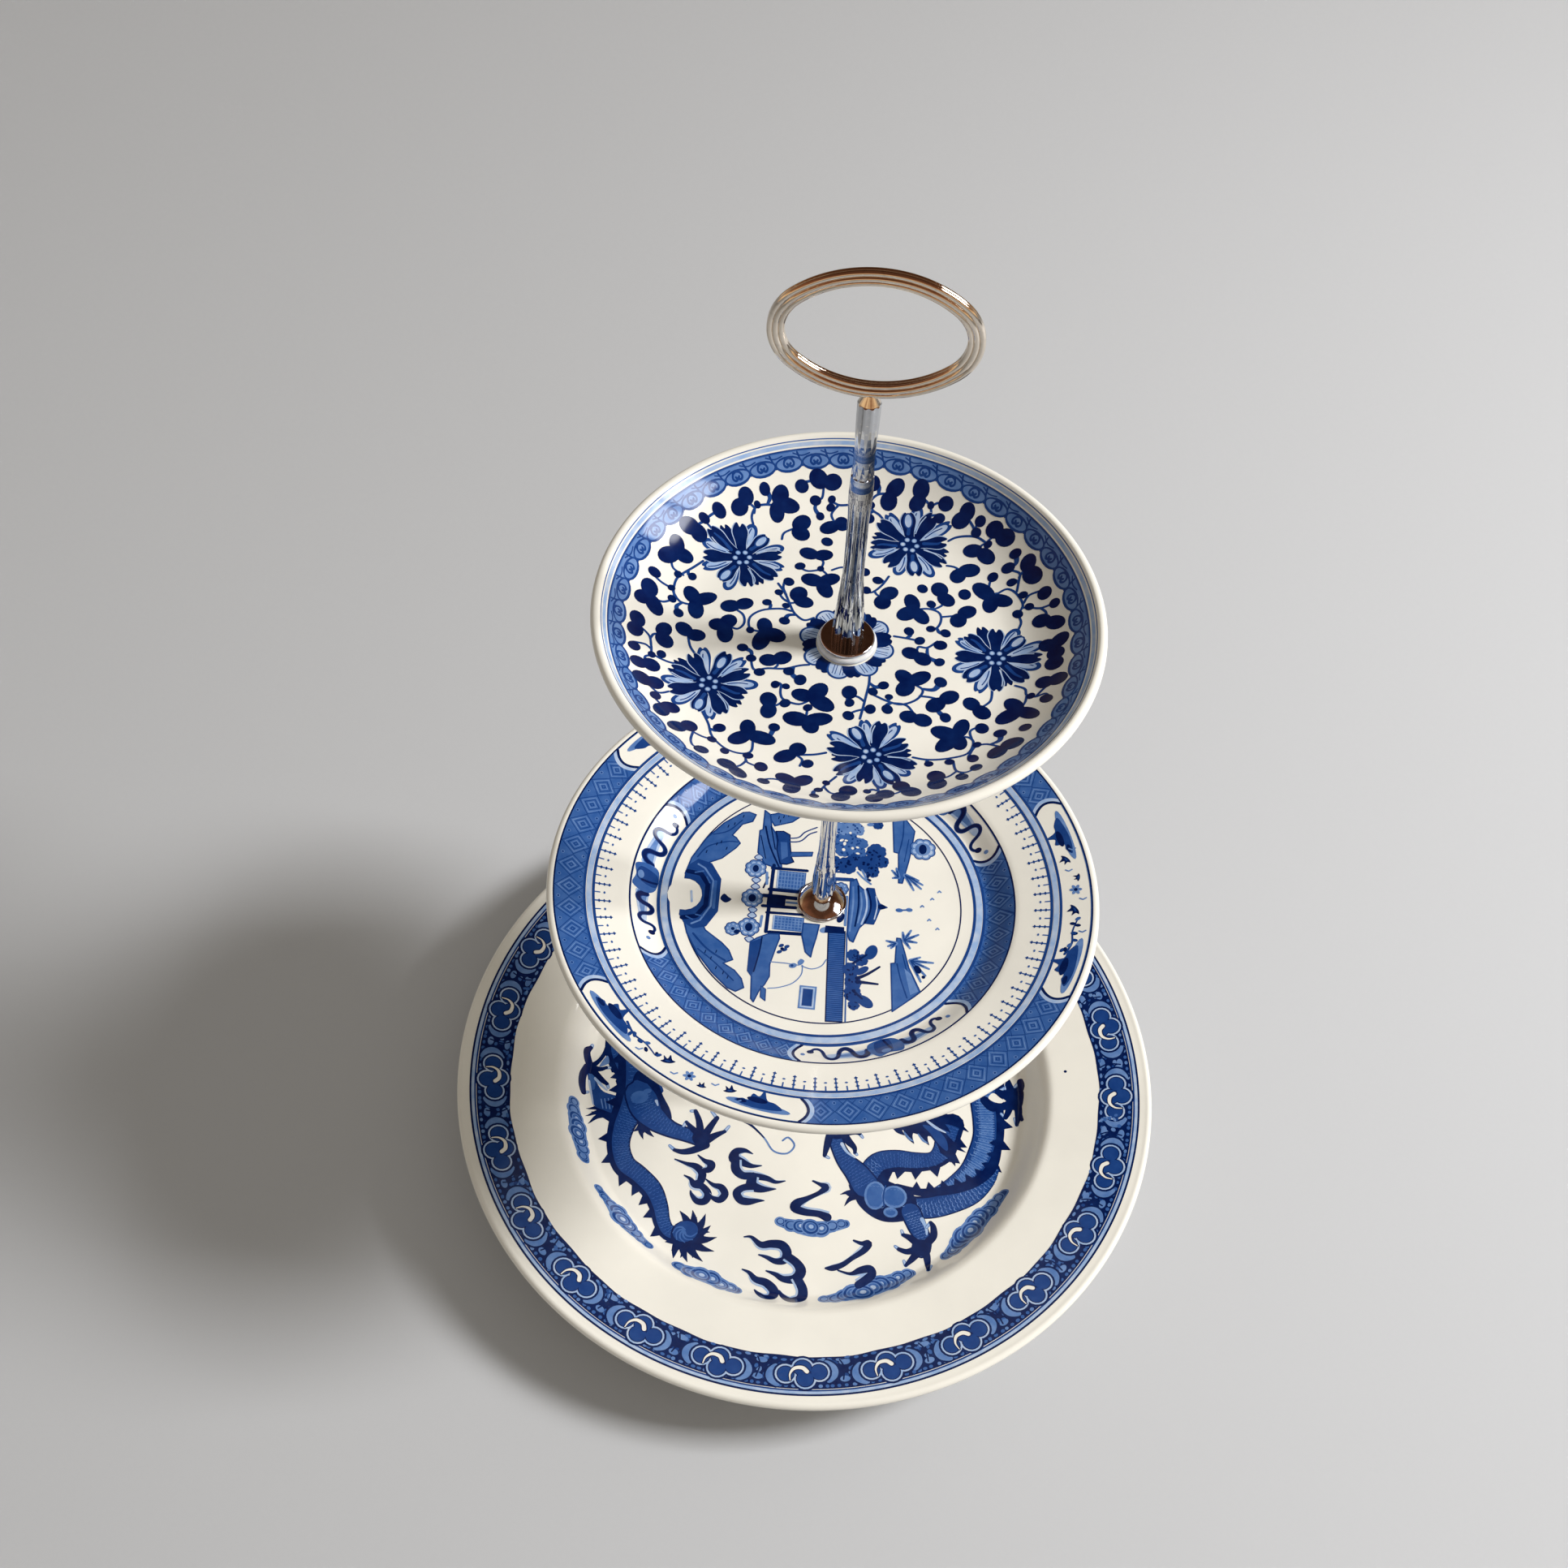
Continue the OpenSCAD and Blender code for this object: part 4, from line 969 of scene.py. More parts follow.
def teeth(points, side, pitch, length, lean=0.6):
    """Thorns along one edge of a body, leaning back along it."""
    shapes = []
    for x, y, half, nx, ny in resample(body_line(points, 16), pitch)[1:-1]:
        nx, ny = side * nx, side * ny
        tx, ty = (ny, -nx) if side > 0 else (-ny, nx)
        foot = (x + nx * (half - 0.8), y + ny * (half - 0.8))
        tip = (x + nx * (half + length) + tx * lean * length, y + ny * (half + length) + ty * lean * length)
        shapes.append([(foot[0] - tx * 0.6 * length, foot[1] - ty * 0.6 * length), tip,
                       (foot[0] + tx * 0.9 * length, foot[1] + ty * 0.9 * length)])
    return shapes


def tuft(at, heading, count, length, spread, width):
    """A few pointed locks of hair from one place."""
    shapes = []
    for i in range(count):
        turn = heading + spread * (i / max(count - 1, 1) - 0.5)
        bend = 14 if i % 2 else -10
        reach = length * (1 if i % 2 else 0.78)
        middle, tip = beside(at, 0.55 * reach, turn), beside(at, reach, turn + bend)
        shapes += band([(*at, 1.6 * width), (*middle, width), (*tip, 0.15)], steps=4)
    return shapes


def dragon_body(art, points, rng):
    """A body with a dark edge along its right side, and a blue flank with scales."""
    art.band(NAVY, points)
    art.band(COBALT, points, -0.55, 0.86)
    art.paint(MID, scales(points, -0.45, 0.8, 1.5, rng))


def finger(art, points, nail):
    """A dark finger with a pale nail at its tip."""
    tip = points[-1][:2]
    art.bar(SOFT, [tip, nail], 1.5, 1.1)
    art.bar(WASH, [tip, nail], 0.8, 0.6)
    art.band(NAVY, points)


def cloud(art, points, rng):
    """A bank of cloud: overlapping lobes of nested rings, largest in the middle, over a pale edge."""
    stations = resample(body_line(points, 6), 3.1)
    lobes = []
    for k, (x, y, half, nx, ny) in enumerate(stations):
        sway = (0.16, -0.14, 0.05)[k % 3] * half
        turn = math.degrees(math.atan2(-nx, ny)) + rng.uniform(-14, 14)
        lobes.append((half, (x + nx * sway, y + ny * sway), turn))
    for grow, tone in ((0.35, SOFT), (-0.25, COBALT)):
        art.band(tone, widened(points, 2 * grow, 0.9))
        art.paint(tone, [oval(at, 1.15 * half + grow, half + grow, turn) for half, at, turn in lobes])
    rings = ((1.0, SOFT), (0.86, COBALT), (0.62, SOFT), (0.5, MID), (0.26, WASH))
    for half, at, turn in sorted(lobes):
        for share, tone in rings[:5 if half > 2.4 else 3]:
            centre = beside(at, 0.24 * half * (1 - share), turn + 60)
            art.dot(tone, centre, 1.15 * half * share, half * share, turn)


def flame(art, points):
    """A curling dark flame with a pale inner edge."""
    line = body_line(points, 5)
    bend = 0.0
    for (ax, ay, *_), (bx, by, *_), (cx, cy, *_) in zip(line, line[1:], line[2:]):
        bend += (bx - ax) * (cy - by) - (by - ay) * (cx - bx)
    wide = [(x, y, width + (1.5 if width > 2.2 else 0.3)) for x, y, width in points]
    low = 0 if bend > 0 else -1
    art.band(WASH, wide, low, low + 1)
    art.band(NAVY, points)


def pebble(art, tone, place, length, width, rng, steps=8):
    """A small oval turned at random, its half axes drawn between the ends of length and width."""
    art.dot(tone, place, rng.uniform(*length), rng.uniform(*width), rng.uniform(0, 180), steps)


def cloud_border(art, rng):
    """A dark band of blue pebbles with outlined cloud heads, and pale lines outside it."""
    art.paint(COBALT, ring(120.2, 120.8))
    art.paint(WASH, ring(120.8, 121.8))
    art.paint(NAVY, line_ring(122.15, 0.7))
    wave = [spot(108.1 + 0.24 * math.sin(math.radians(a * 17)) + 0.14 * math.sin(math.radians(a * 41)), a)
            for a in range(0, 360)]
    for start in range(0, 360, 40):
        inner = [wave[k % 360] for k in range(start, start + 41)]
        outer = [spot(120.0, a) for a in range(start, start + 41)]
        art.paint(NAVY, [outer + inner[::-1]])
    for k in range(330):
        turn = 360 * (k + rng.uniform(-0.2, 0.2)) / 330
        tone = MID if rng.random() < 0.7 else SOFT
        art.dot(tone, spot(118.9, turn), rng.uniform(0.5, 0.7), rng.uniform(0.65, 0.85), turn, 8)
    pitch = 360 / HEADS
    for i in range(HEADS):
        turn = 0.6 + pitch * i
        gap = turn + pitch / 2
        for k in range(26):
            place = spot(rng.uniform(108.9, 117.2), gap + rng.uniform(-0.26, 0.26) * pitch)
            pebble(art, rng.choice((MID, MID, SOFT, COBALT)), place, (0.5, 1.1), (0.45, 0.8), rng)
        for k in range(9):
            place = spot(rng.uniform(108.7, 109.6), turn + (k - 4) * pitch / 9)
            art.dot(rng.choice((MID, SOFT)), place, 0.5, rng.uniform(0.7, 1.1), turn, 8)
        fork = [spot(109.4, gap - 0.6), spot(112.5, gap), spot(116.8, gap - 0.4)]
        art.dot(SOFT, spot(110.4, gap + 0.2), 1.0, 1.9, gap)
        art.dot(SOFT, spot(116.6, gap - 0.1), 1.1, 1.7, gap)
        art.line(NAVY, fork, 0.55)
        cloud_head(art, spot(114.3 + rng.uniform(-0.3, 0.3), turn), turn + 90, rng)


def cloud_head(art, at, turn, rng):
    """Four lobes with a pale outline, a white comma inside and half-moons at both ends."""
    turn += rng.uniform(-6, 6)
    lobes = (((-5.5, 0.3), 3.3), ((5.7, 0.1), 3.3), ((0.4, 1.9), 3.5), ((0.8, -2.1), 3.4))
    for side in (-1, 1):
        moon = [(side * 8.0, -3.8), (side * 11.2, -2.6), (side * 12.2, 0.2), (side * 10.9, 2.9),
                (side * 7.8, 3.9)]
        art.paint(NAVY, move(blob([(1.06 * x, 1.12 * y) for x, y in moon]), at, turn))
        art.paint(SOFT, move(blob(moon), at, turn))
    for tone, grow in ((NAVY, 1.1), (WASH, 0.35), (NAVY, -0.25), (COBALT, -0.6)):
        art.paint(tone, move([oval(centre, radius + grow) for centre, radius in lobes], at, turn))
    comma = [(-4.2, -2.2, 0.35), (-4.0, 0.2, 0.65), (-2.3, 2.1, 1.1), (0.3, 2.1, 1.4), (1.7, 0.6, 1.5)]
    art.paint(NAVY, move(band(widened(comma, 0.7)), at, turn))
    art.paint(BARE, move(band(comma), at, turn))


def dragon_head(art, side):
    """A horned head with a mane, an open jaw, an eye and whiskers. side is 1 for the right one."""
    def lay(tone, shapes):
        art.paint(tone, [[(side * x, y) for x, y in shape] for shape in shapes])

    mane = ((60, 15), (85, 17), (110, 16), (-50, 13), (-75, 15), (-100, 14), (20, 11), (-20, 11))
    for heading, reach in mane:
        lay(NAVY, tuft((44, 47), heading, 3, reach, 22, 2.2))
    skull = [(50, 50), (45, 56), (36, 58), (28, 56.5), (20, 57.5), (15, 55), (16, 51.5), (22, 50.5),
             (28, 49.5), (24, 46.5), (19, 45), (20, 42), (27, 41.5), (36, 42), (45, 43), (50, 46)]
    lay(NAVY, blob(skull))
    lay(COBALT, blob([(34 + 0.86 * (x - 34), 50 + 0.84 * (y - 50)) for x, y in skull]))
    lay(MID, [oval((x, y), 1.5, 1.1) for x, y in ((44, 51), (40, 47), (36, 45), (30, 44), (45, 46))])
    lay(WASH, [oval((19, 55.4), 1.8, 1.1), oval((31.5, 53.6), 2.6, 2.0)])
    lay(NAVY, [oval((31.2, 53.6), 1.2)])
    lay(NAVY, stroke([(28, 56.4), (32, 57.4), (36, 55.6)], 0.9))
    for k in range(5):
        tooth = [(18.5 + 2 * k, 51.6), (19.7 + 2 * k, 51.5), (19.1 + 2 * k, 49.4)]
        lay(WASH, [tooth])
    for tip in ((56, 66), (49, 68)):
        lay(NAVY, band([(38, 56.5, 2.4), (45, 60.5, 2.0), (*tip, 0.3)]))
    for path in (((17, 56, 1.0), (12, 60, 0.8), (13, 66, 0.7), (18, 68, 0.5)),
                 ((18, 44, 1.0), (12, 41, 0.8), (11, 35, 0.7), (15, 32, 0.5))):
        lay(SOFT, band(widened(path, 0, 2.2)))
        lay(NAVY, band(path))


def pearl(art):
    """The flaming pearl between the two heads."""
    at = (0, 52)
    tongues = ((90, 17), (62, 12), (118, 12), (30, 9), (150, 9), (-90, 11), (-50, 8), (-130, 8))
    for i, (heading, reach) in enumerate(tongues):
        side = beside(at, 0.7 * reach, heading + (16 if i % 2 else -16))
        tip = beside(at, reach, heading)
        art.band(NAVY, [(*at, 4), (*side, 2.4), (*tip, 0.3)])
    for radius, tone in ((6.2, NAVY), (5.4, WASH), (4.4, COBALT), (2.6, SOFT)):
        art.dot(tone, at, radius)


def left_dragon(art, rng):
    """The dragon on the left, down to its spiked tail."""
    flank = [(-75.6, 15), (-74.8, 8), (-71.6, 1), (-68.4, -5), (-66.6, -12), (-66.6, -20)]
    art.paint(COBALT, [flank + [(-58, -20), (-52, -6), (-58, 8), (-66, 16)]])
    art.paint(MID, scales([(-70, 9, 9), (-64, -2, 9), (-61, -9, 7)], -0.8, 0.8, 1.4, rng))
    art.paint(NAVY, tuft((-70, -17.4), 176, 6, 9.5, 48, 1.9))
    art.blob(COBALT, [(-81.2, -1), (-79, -1.6), (-77.4, -5), (-74.4, -8.6), (-70, -9.8), (-67.4, -10.4),
                      (-67.6, -17), (-73, -16.4), (-77, -14.6), (-78.8, -10), (-80.4, -5)])
    art.blob(MID, [(-80.8, -0.6), (-78.8, -0.8), (-78, -4), (-77.6, -8), (-79.2, -8), (-80.2, -4)])
    for k in range(5):
        art.bar(SOFT, [(-74.6 + 1.3 * k, -12 + 0.3 * k), (-73.4 + 1.3 * k, -15.6)], 0.4)
    art.line(WASH, [(-80.2, -5), (-78.6, -10), (-77.2, -14.4)], 0.9, 0.5)
    art.line(WASH, [(-77.8, -3.6), (-75.6, -6), (-73, -8)], 1.5, 0.7)
    art.line(NAVY, flank, 2.2, 3.0)
    art.dot(NAVY, (-80.4, 0.4), 2.2, 2.4)
    art.blob(SOFT, [(-74.8, 6.4), (-73.8, 3.6), (-75, 2.4), (-77.2, 1.4), (-76.4, 4)])
    art.blob(BARE, [(-76, -1.2), (-74, -1.5), (-71.6, -0.4), (-70.2, -3), (-71.4, -5.4), (-73.4, -4)])
    art.blob(BARE, [(-71.8, -7.2), (-70, -5.4), (-68.5, -6.4), (-68, -8.6), (-70, -9.2)])
    art.band(NAVY, [(-80, 1.4, 2.4), (-77.8, 3.8, 1.7), (-76.2, 7, 1.6), (-75.4, 11, 1.6)])
    art.paint(NAVY, teeth(LEFT_BODY, -1, 6.6, 3.0))
    for heading in range(-135, 100, 28):
        art.paint(NAVY, tuft((-36.4, -62), heading, 2, rng.uniform(8.8, 11.6), 20, 3.0))
    dragon_body(art, LEFT_BODY, rng)
    art.dot(NAVY, (-36.4, -62), 6, 5.6)
    art.dot(COBALT, (-37.2, -60.8), 4.6, 3.9, 30)
    for k in range(5):
        lock = [beside((-37.4, -60.6), r, 40 * k + lean)
                for r, lean in ((0.4, 110), (1.8, 135), (3.2, 165), (4.4, 196))]
        art.line(MID, lock, 0.8, 0.35)
    art.band(NAVY, widened(LEFT_ARM, 1.4))
    art.paint(NAVY, tuft((-57.5, -19), 268, 4, 7.6, 46, 2.2))
    art.blob(NAVY, [(-63, 1), (-56, -1), (-52, -8), (-48.4, -14), (-48, -19), (-54, -22.6), (-60, -20),
                    (-64, -10)])
    art.band(COBALT, LEFT_ARM)
    art.blob(COBALT, [(-63.4, -3), (-58, -4.6), (-54, -9), (-52, -16), (-58, -18.6), (-63, -12)])
    art.paint(MID, scales(LEFT_ARM, -0.7, 0.7, 1.5, rng))
    art.dot(MID, (-60.6, -9.6), 3.4, 2.6, 20)
    art.dot(MID, (-58, -6.8), 1.6, 1.0, 20)
    art.paint(COBALT, scales([(-64, -9.4, 5), (-57, -9.8, 5)], -0.9, 0.9, 1.3, rng))
    art.bar(WASH, [(-54.2, -10.4), (-53.4, -12.2)], 1.1, 0.6)


def right_dragon(art, rng):
    """The dragon on the right: two loops, a shoulder of cloud lobes, arm, leg and mane."""
    art.paint(NAVY, teeth(OUTER_LOOP, 1, 7.4, 3.2))
    art.paint(NAVY, teeth(LOWER_LOOP, -1, 50, 1))
    art.band(NAVY, LOWER_LOOP)
    art.band(COBALT, LOWER_LOOP, -0.8, 0.9)
    art.paint(MID, scales(LOWER_LOOP, -0.7, 0.86, 1.4, rng))
    art.paint(SOFT, scales(LOWER_LOOP, -0.5, 0.7, 1.9, rng))
    art.band(NAVY, OUTER_LOOP)
    art.band(COBALT, OUTER_LOOP, -0.9, 0.5)
    art.band(MID, OUTER_LOOP, -0.5, 0.3)
    art.paint(SOFT, ribs(OUTER_LOOP, -0.6, 0.36, 0.85, 0.26))
    art.paint(SOFT, scales(OUTER_LOOP, -0.8, 0.4, 1.7, rng))
    art.band(NAVY, RIDGE)
    art.paint(NAVY, teeth(RIDGE, -1, 5.0, 2.6, 0.3))
    art.paint(NAVY, teeth(INNER_LOOP, 1, 5.6, 3.2, 0.4))
    art.band(NAVY, INNER_LOOP)
    art.band(COBALT, INNER_LOOP, -0.9, 0.6)
    art.paint(MID, scales(INNER_LOOP, -0.8, 0.5, 1.4, rng))
    art.paint(SOFT, scales(INNER_LOOP[6:], -0.8, 0.3, 1.7, rng))
    mane = [(33.4, -11.4), (40, -9.4), (47, -6.8), (51, -8.8), (54.2, -12.4), (57.6, -15.8), (61.6, -19),
            (56.6, -17.8), (57.6, -21), (57.8, -25), (55, -22), (52, -20), (50.6, -16.6), (48.2, -13.8),
            (44, -13.6)]
    art.paint(NAVY, [mane])
    for base, tip in (((40, -11.6), (42.2, -17.4)), ((45.6, -12), (47.8, -17.4)),
                      ((36, -11), (38.6, -14.4))):
        middle = (0.5 * (base[0] + tip[0]) - 0.8, 0.5 * (base[1] + tip[1]), 2.6)
        art.band(NAVY, [(*base, 4.4), middle, (*tip, 0.2)])
    art.blob(COBALT, [(45, -9.4), (50, -10.4), (54, -14.6), (54.6, -19), (51.6, -17), (48, -12.6)])
    art.band(NAVY, [(49, -6, 4.4), (54.6, -6.2, 4.2), (58.6, -8.2, 2.2), (62, -10.4, 0.3)])
    art.band(NAVY, [(50, -7.6, 3), (53, -9.4, 2.2), (55.4, -11.4, 0.3)])
    art.band(WASH, [(46.6, -7.6, 0.8), (50, -10, 1.1), (53.6, -11.6, 0.5)])
    for base in ((38.4, -13.2), (43.6, -13.4)):
        art.band(SOFT, [(*base, 0.5), (base[0] + 2, base[1] - 2.4, 0.9),
                        (base[0] + 3.6, base[1] - 3.2, 0.3)])
    art.blob(NAVY, [(22.6, -36), (22.4, -42), (27, -47), (33, -49.4), (39.6, -48.6), (43.6, -46), (44, -39),
                    (38, -35), (30, -33)])
    art.paint(NAVY, tuft((24, -40), 180, 4, 7.4, 56, 1.8))
    art.band(NAVY, widened(RIGHT_ARM, 1.2))
    art.band(COBALT, RIGHT_ARM)
    art.paint(MID, scales(RIGHT_ARM, -0.8, 0.7, 1.4, rng))
    art.line(WASH, [(15.8, -20.4), (17.8, -23.4), (21, -25.4)], 1.3, 0.6)
    art.band(NAVY, widened(RIGHT_LEG, 1.2))
    art.band(COBALT, RIGHT_LEG)
    art.paint(SOFT, scales(RIGHT_LEG, -0.85, 0.85, 1.3, rng))
    art.line(WASH, [(46.6, -47), (48.2, -50), (48.6, -52.6)], 1.5, 0.7)
    for centre, a, b in (((29.3, -39.6), 4.0, 5.6), ((36.2, -39.4), 4.6, 4.4), ((35.2, -45.6), 2.6, 2.0)):
        art.dot(SOFT, centre, a, b)
        art.dot(MID, centre, a - 0.8, b - 0.8)
    art.paint(SOFT, scales([(36.2, -36.2, 7.2), (36.4, -42.4, 7.2)], -0.9, 0.9, 1.2, rng))
    art.paint(SOFT, scales([(29.3, -35.6, 6), (29.3, -43.6, 6)], -0.9, 0.9, 1.4, rng))
    art.paint(SOFT, scales([(35.2, -44.4, 4), (35.2, -46.8, 4)], -0.8, 0.8, 1.1, rng))
    art.line(COBALT, [(32.8, -35.4), (32.2, -39.6), (32.8, -43.4)], 0.6)
    art.blob(NAVY, [(75.4, 6), (76, 9.6), (79, 10.4), (81.8, 8.6), (82, 4), (80.8, 0.6), (77, 0.8),
                    (76, 3)])
    art.band(NAVY, [(67.6, 3.4, 3.4), (70.4, 0.9, 3.8), (73.6, 1.2, 2.6), (77, 3, 3)])
    art.band(NAVY, [(80.4, -0.6, 2.2), (81.7, -3.8, 1.2)])
    art.blob(BARE, [(69, 4.6), (70.8, 6.8), (73.2, 5.2), (74.8, 4), (73.8, 2.8), (71, 3.1)])


def lower_painting(plate):
    """Two dragons among flames and clouds round the well, inside a border of cloud heads."""
    rng = random.Random(11)
    art = Painting(plate)
    cloud_border(art, rng)
    for points in CLOUDS:
        cloud(art, points, rng)
    for points in FLAMES:
        flame(art, points)
    left_dragon(art, rng)
    right_dragon(art, rng)
    for points, nail in FINGERS:
        finger(art, points, nail)
    art.dot(NAVY, (-35.6, -23.8), 3.6, 3.2)
    art.dot(NAVY, (46.8, -58), 3.4, 3.2)
    art.dot(NAVY, (13.4, -16.4), 3.2, 2.4)
    whisker = [(-27.5, -13), (-19, -16), (-13, -21), (-9, -26), (-4, -26.5), (-1.5, -23), (-4, -20),
               (-6, -21.5)]
    art.line(SOFT, whisker[:1] + whisker, 0.7)
    art.line(NAVY, whisker[:3], 1.5, 0.5)
    art.line(SOFT, [(1.6, -15), (3.4, -16.8), (6, -16.6), (7, -14.8)], 0.7)
    for side in (-1, 1):
        dragon_head(art, side)
    pearl(art)
    art.dot(NAVY, (96, 12), 0.55)     # a kiln speck on the rim
    art.dot(BARE, (0, 0), WIPE_R, steps=48)
    return art


# ------------------------------------------------------------------ middle plate: a lake with pavilions

TICKS = 70                     # long ticks in the comb border

# White windows in the two bands: middle and half width, degrees.
OUTER_WINDOWS = ((2.5, 27), (122, 27.5), (242, 29))
INNER_WINDOWS = ((51, 28.5), (178.7, 28.9), (294.5, 28.4))


def arc_path(radius, start, end):
    """Points along an arc."""
    steps = 24
    return [spot(radius, start + (end - start) * i / steps) for i in range(steps + 1)]


def meander(radius, start, end, loops, swing):
    """A winding line along an arc whose loops lean back over themselves."""
    steps = 20
    count = loops * steps
    heads = [swing * math.cos(math.tau * i / steps) for i in range(count)]
    length = math.radians(end - start) * radius / sum(math.cos(h) for h in heads)
    along, out, path = 0.0, 0.0, []
    for h in heads:
        path.append(spot(radius + out, start + math.degrees(along / radius)))
        along += length * math.cos(h)
        out += abs(length) * math.sin(h)
    return path


def diaper(art, inner, outer, start, end, pitch):
    """Nested diamonds and beads over part of a band."""
    middle, half = 0.5 * (inner + outer), 0.5 * (outer - inner)
    cells = max(1, round(math.radians(end - start) * middle / pitch))
    step = (end - start) / cells
    for i in range(cells):
        centre = start + step * (i + 0.5)
        for share, tone in ((0.98, COBALT), (0.76, SOFT), (0.54, COBALT), (0.32, SOFT), (0.14, COBALT)):
            corners = [spot(middle + share * half, centre), spot(middle, centre + 0.5 * share * step),
                       spot(middle - share * half, centre), spot(middle, centre - 0.5 * share * step)]
            art.bar(tone, corners + corners[:1], 0.27)
        for at in (middle - 0.72 * half, middle + 0.72 * half):
            art.dot(SOFT, spot(at, centre + 0.5 * step), 0.6, steps=8)
            art.dot(COBALT, spot(at, centre + 0.5 * step), 0.4, steps=8)
        for lean in (-0.36, 0.36):
            foot = spot(inner + 0.4, centre + (0.5 + 0.5 * lean) * step)
            art.bar(COBALT, [foot, spot(inner + 0.42 * half, centre + (0.5 + lean) * step)], 0.25)


def window_end(art, inner, outer, angle, side):
    """The rounded end of a white window in a band: a dark arc inside a pale one."""
    middle, half = 0.5 * (inner + outer), 0.5 * (outer - inner)
    reach = math.degrees(1 / middle)
    for tone, grow, width in ((WASH, 1.6, 1.3), (NAVY, 0.5, 0.9)):
        bow = [spot(middle + half * share, angle + side * reach * (grow - 2.6 * share * share))
               for share in (-0.96, -0.6, -0.2, 0.2, 0.6, 0.96)]
        art.line(tone, bow, width)


def windowed_band(art, inner, outer, windows, pitch):
    """A blue diaper band broken by white windows with rounded ends."""
    art.paint(MID, ring(inner, outer))
    for k, (middle, half) in enumerate(windows):
        after, after_half = windows[(k + 1) % len(windows)]
        start, end = middle + half, after - after_half + (360 if k + 1 == len(windows) else 0)
        diaper(art, inner, outer, start, end, pitch)
    centre, depth = 0.5 * (inner + outer), 0.5 * (outer - inner)
    for middle, half in windows:
        reach = math.degrees(1 / centre)
        rows = [inner + 0.25, inner + 0.5 * depth, centre, outer - 0.5 * depth, outer - 0.25]
        bulge = [reach * (1.0 - 2.6 * ((r - centre) / depth) ** 2) for r in rows]
        left = [spot(r, middle - half - b) for r, b in zip(rows, bulge)]
        right = [spot(r, middle + half + b) for r, b in zip(rows, bulge)]
        reach_in, reach_out = half + bulge[0], half + bulge[-1]
        below = arc_path(inner + 0.25, middle - reach_in, middle + reach_in)
        above = arc_path(outer - 0.25, middle - reach_out, middle + reach_out)
        art.paint(BARE, [right[:-1] + above[:0:-1] + left[:0:-1] + below[:-1]])
        window_end(art, inner, outer, middle - half, -1)
        window_end(art, inner, outer, middle + half, 1)


def inner_window(art, middle, half, rng):
    """Winding vines on both sides of a blue fan."""
    for side in (-1, 1):
        start, end = middle + side * 0.2 * half, middle + side * (0.78 - 0.06 * side) * half
        vine = meander(56.6, start, end, 2, 1.35)
        shade = [spot(57.9, start + (end - start) * i / 6) for i in range(5)]
        art.line(WASH, shade, 4.2, 2.2)
        art.line(SOFT, shade[:4], 3.2, 1.0)
        art.bar(COBALT, vine, 2.1, 0.9)
        art.bar(NAVY, vine, 1.5, 0.5)
        art.dot(NAVY, vine[-1], 1.1, 0.9)
        art.dot(SOFT, spot(57.6, end + side * rng.uniform(1.6, 2.2)), 0.7)
    fan = [spot(53.8, middle - 4.2), spot(57, middle - 5.6), spot(61.2, middle - 3.6), spot(60.4, middle),
           spot(61.2, middle + 3.8), spot(57.4, middle + 5.4), spot(53.8, middle + 3.2)]
    art.blob(MID, fan)
    art.blob(COBALT, [spot(54, middle - 2.6), spot(59.4, middle - 3.4), spot(60, middle + 1),
                      spot(54, middle + 2.4)])
    art.dot(SOFT, spot(59.0, middle - 0.6), 1.0, 1.5, middle)
    art.bar(NAVY, [spot(53.8, middle + 0.6), spot(58.4, middle + 1.2)], 0.8)


def bird(art, at, heading, size):
    """A small dark bird with raised wings."""
    body = [(-2.6, -0.5), (-1.2, -1.1), (1.0, -0.9), (2.4, 0.1), (1.2, 0.6), (0.4, 2.6), (-0.4, 0.8),
            (-1.8, 1.9), (-1.6, 0.2)]
    art.paint(NAVY, move(blob(body), at, heading, size))
    art.paint(COBALT, move([oval((-0.2, -0.2), 0.9, 0.35)], at, heading, size))


def outer_window(art, middle, half, rng):
    """Small islands, twigs and birds on white."""
    def at(radius, share):
        return spot(radius, middle + share * half)

    def turned(share):
        return middle + share * half + 90

    island = [(-4.6, -1.4), (-3, -0.2), (-1.6, -0.4), (-1, 1.8), (0.6, 1.4), (1.4, 3.4), (2.6, 0.8),
              (4.6, 0.4), (6.4, -1.2), (0, -2.2)]
    for share, size in ((-0.7, 1.45), (0.62, 1.3)):
        art.paint(SOFT, move([oval((1, -1.4), 7.6, 1.2)], at(80.2, share), turned(share), size))
        art.paint(COBALT, move(blob(island), at(80.2, share), turned(share), size))
        shade = [oval((0.4, 0.2), 2.4, 0.8), oval((-3, -1), 1.2, 0.5)]
        art.paint(NAVY, move(shade, at(80.2, share), turned(share), size))
    twig = [at(79.0, -0.56), at(80.4, -0.44), at(80.0, -0.32), at(81.2, -0.2)]
    art.line(COBALT, twig, 0.8, 0.4)
    for x, y in spline(twig, False, 3)[1:]:
        aside = rng.uniform(-1.5, 1.5)
        tone = rng.choice((NAVY, COBALT, MID))
        art.dot(tone, (x + aside, y + rng.uniform(-1, 1)), 1.0, 0.6, rng.uniform(0, 180), 8)
    for share, radius, size in ((-0.1, 80.0, 0.9), (0.22, 82.0, 0.6), (0.42, 79.4, 0.8)):
        bird(art, at(radius, share), turned(share) + rng.uniform(-30, 30), size)
    for k in range(6):
        heading = 60 * k + middle
        art.dot(SOFT, beside(at(80.8, 0.1), 1.1, heading), 0.9, 0.55, heading, 10)
    art.dot(NAVY, at(80.8, 0.1), 0.6)
    for share, radius in ((0.0, 82.8), (0.3, 79.6), (0.5, 82.4), (-0.32, 83)):
        x, y = at(radius, share)
        art.bar(SOFT, [(x - 1.0, y + 0.3), (x, y - 0.2), (x + 1.0, y + 0.4)], 0.5)


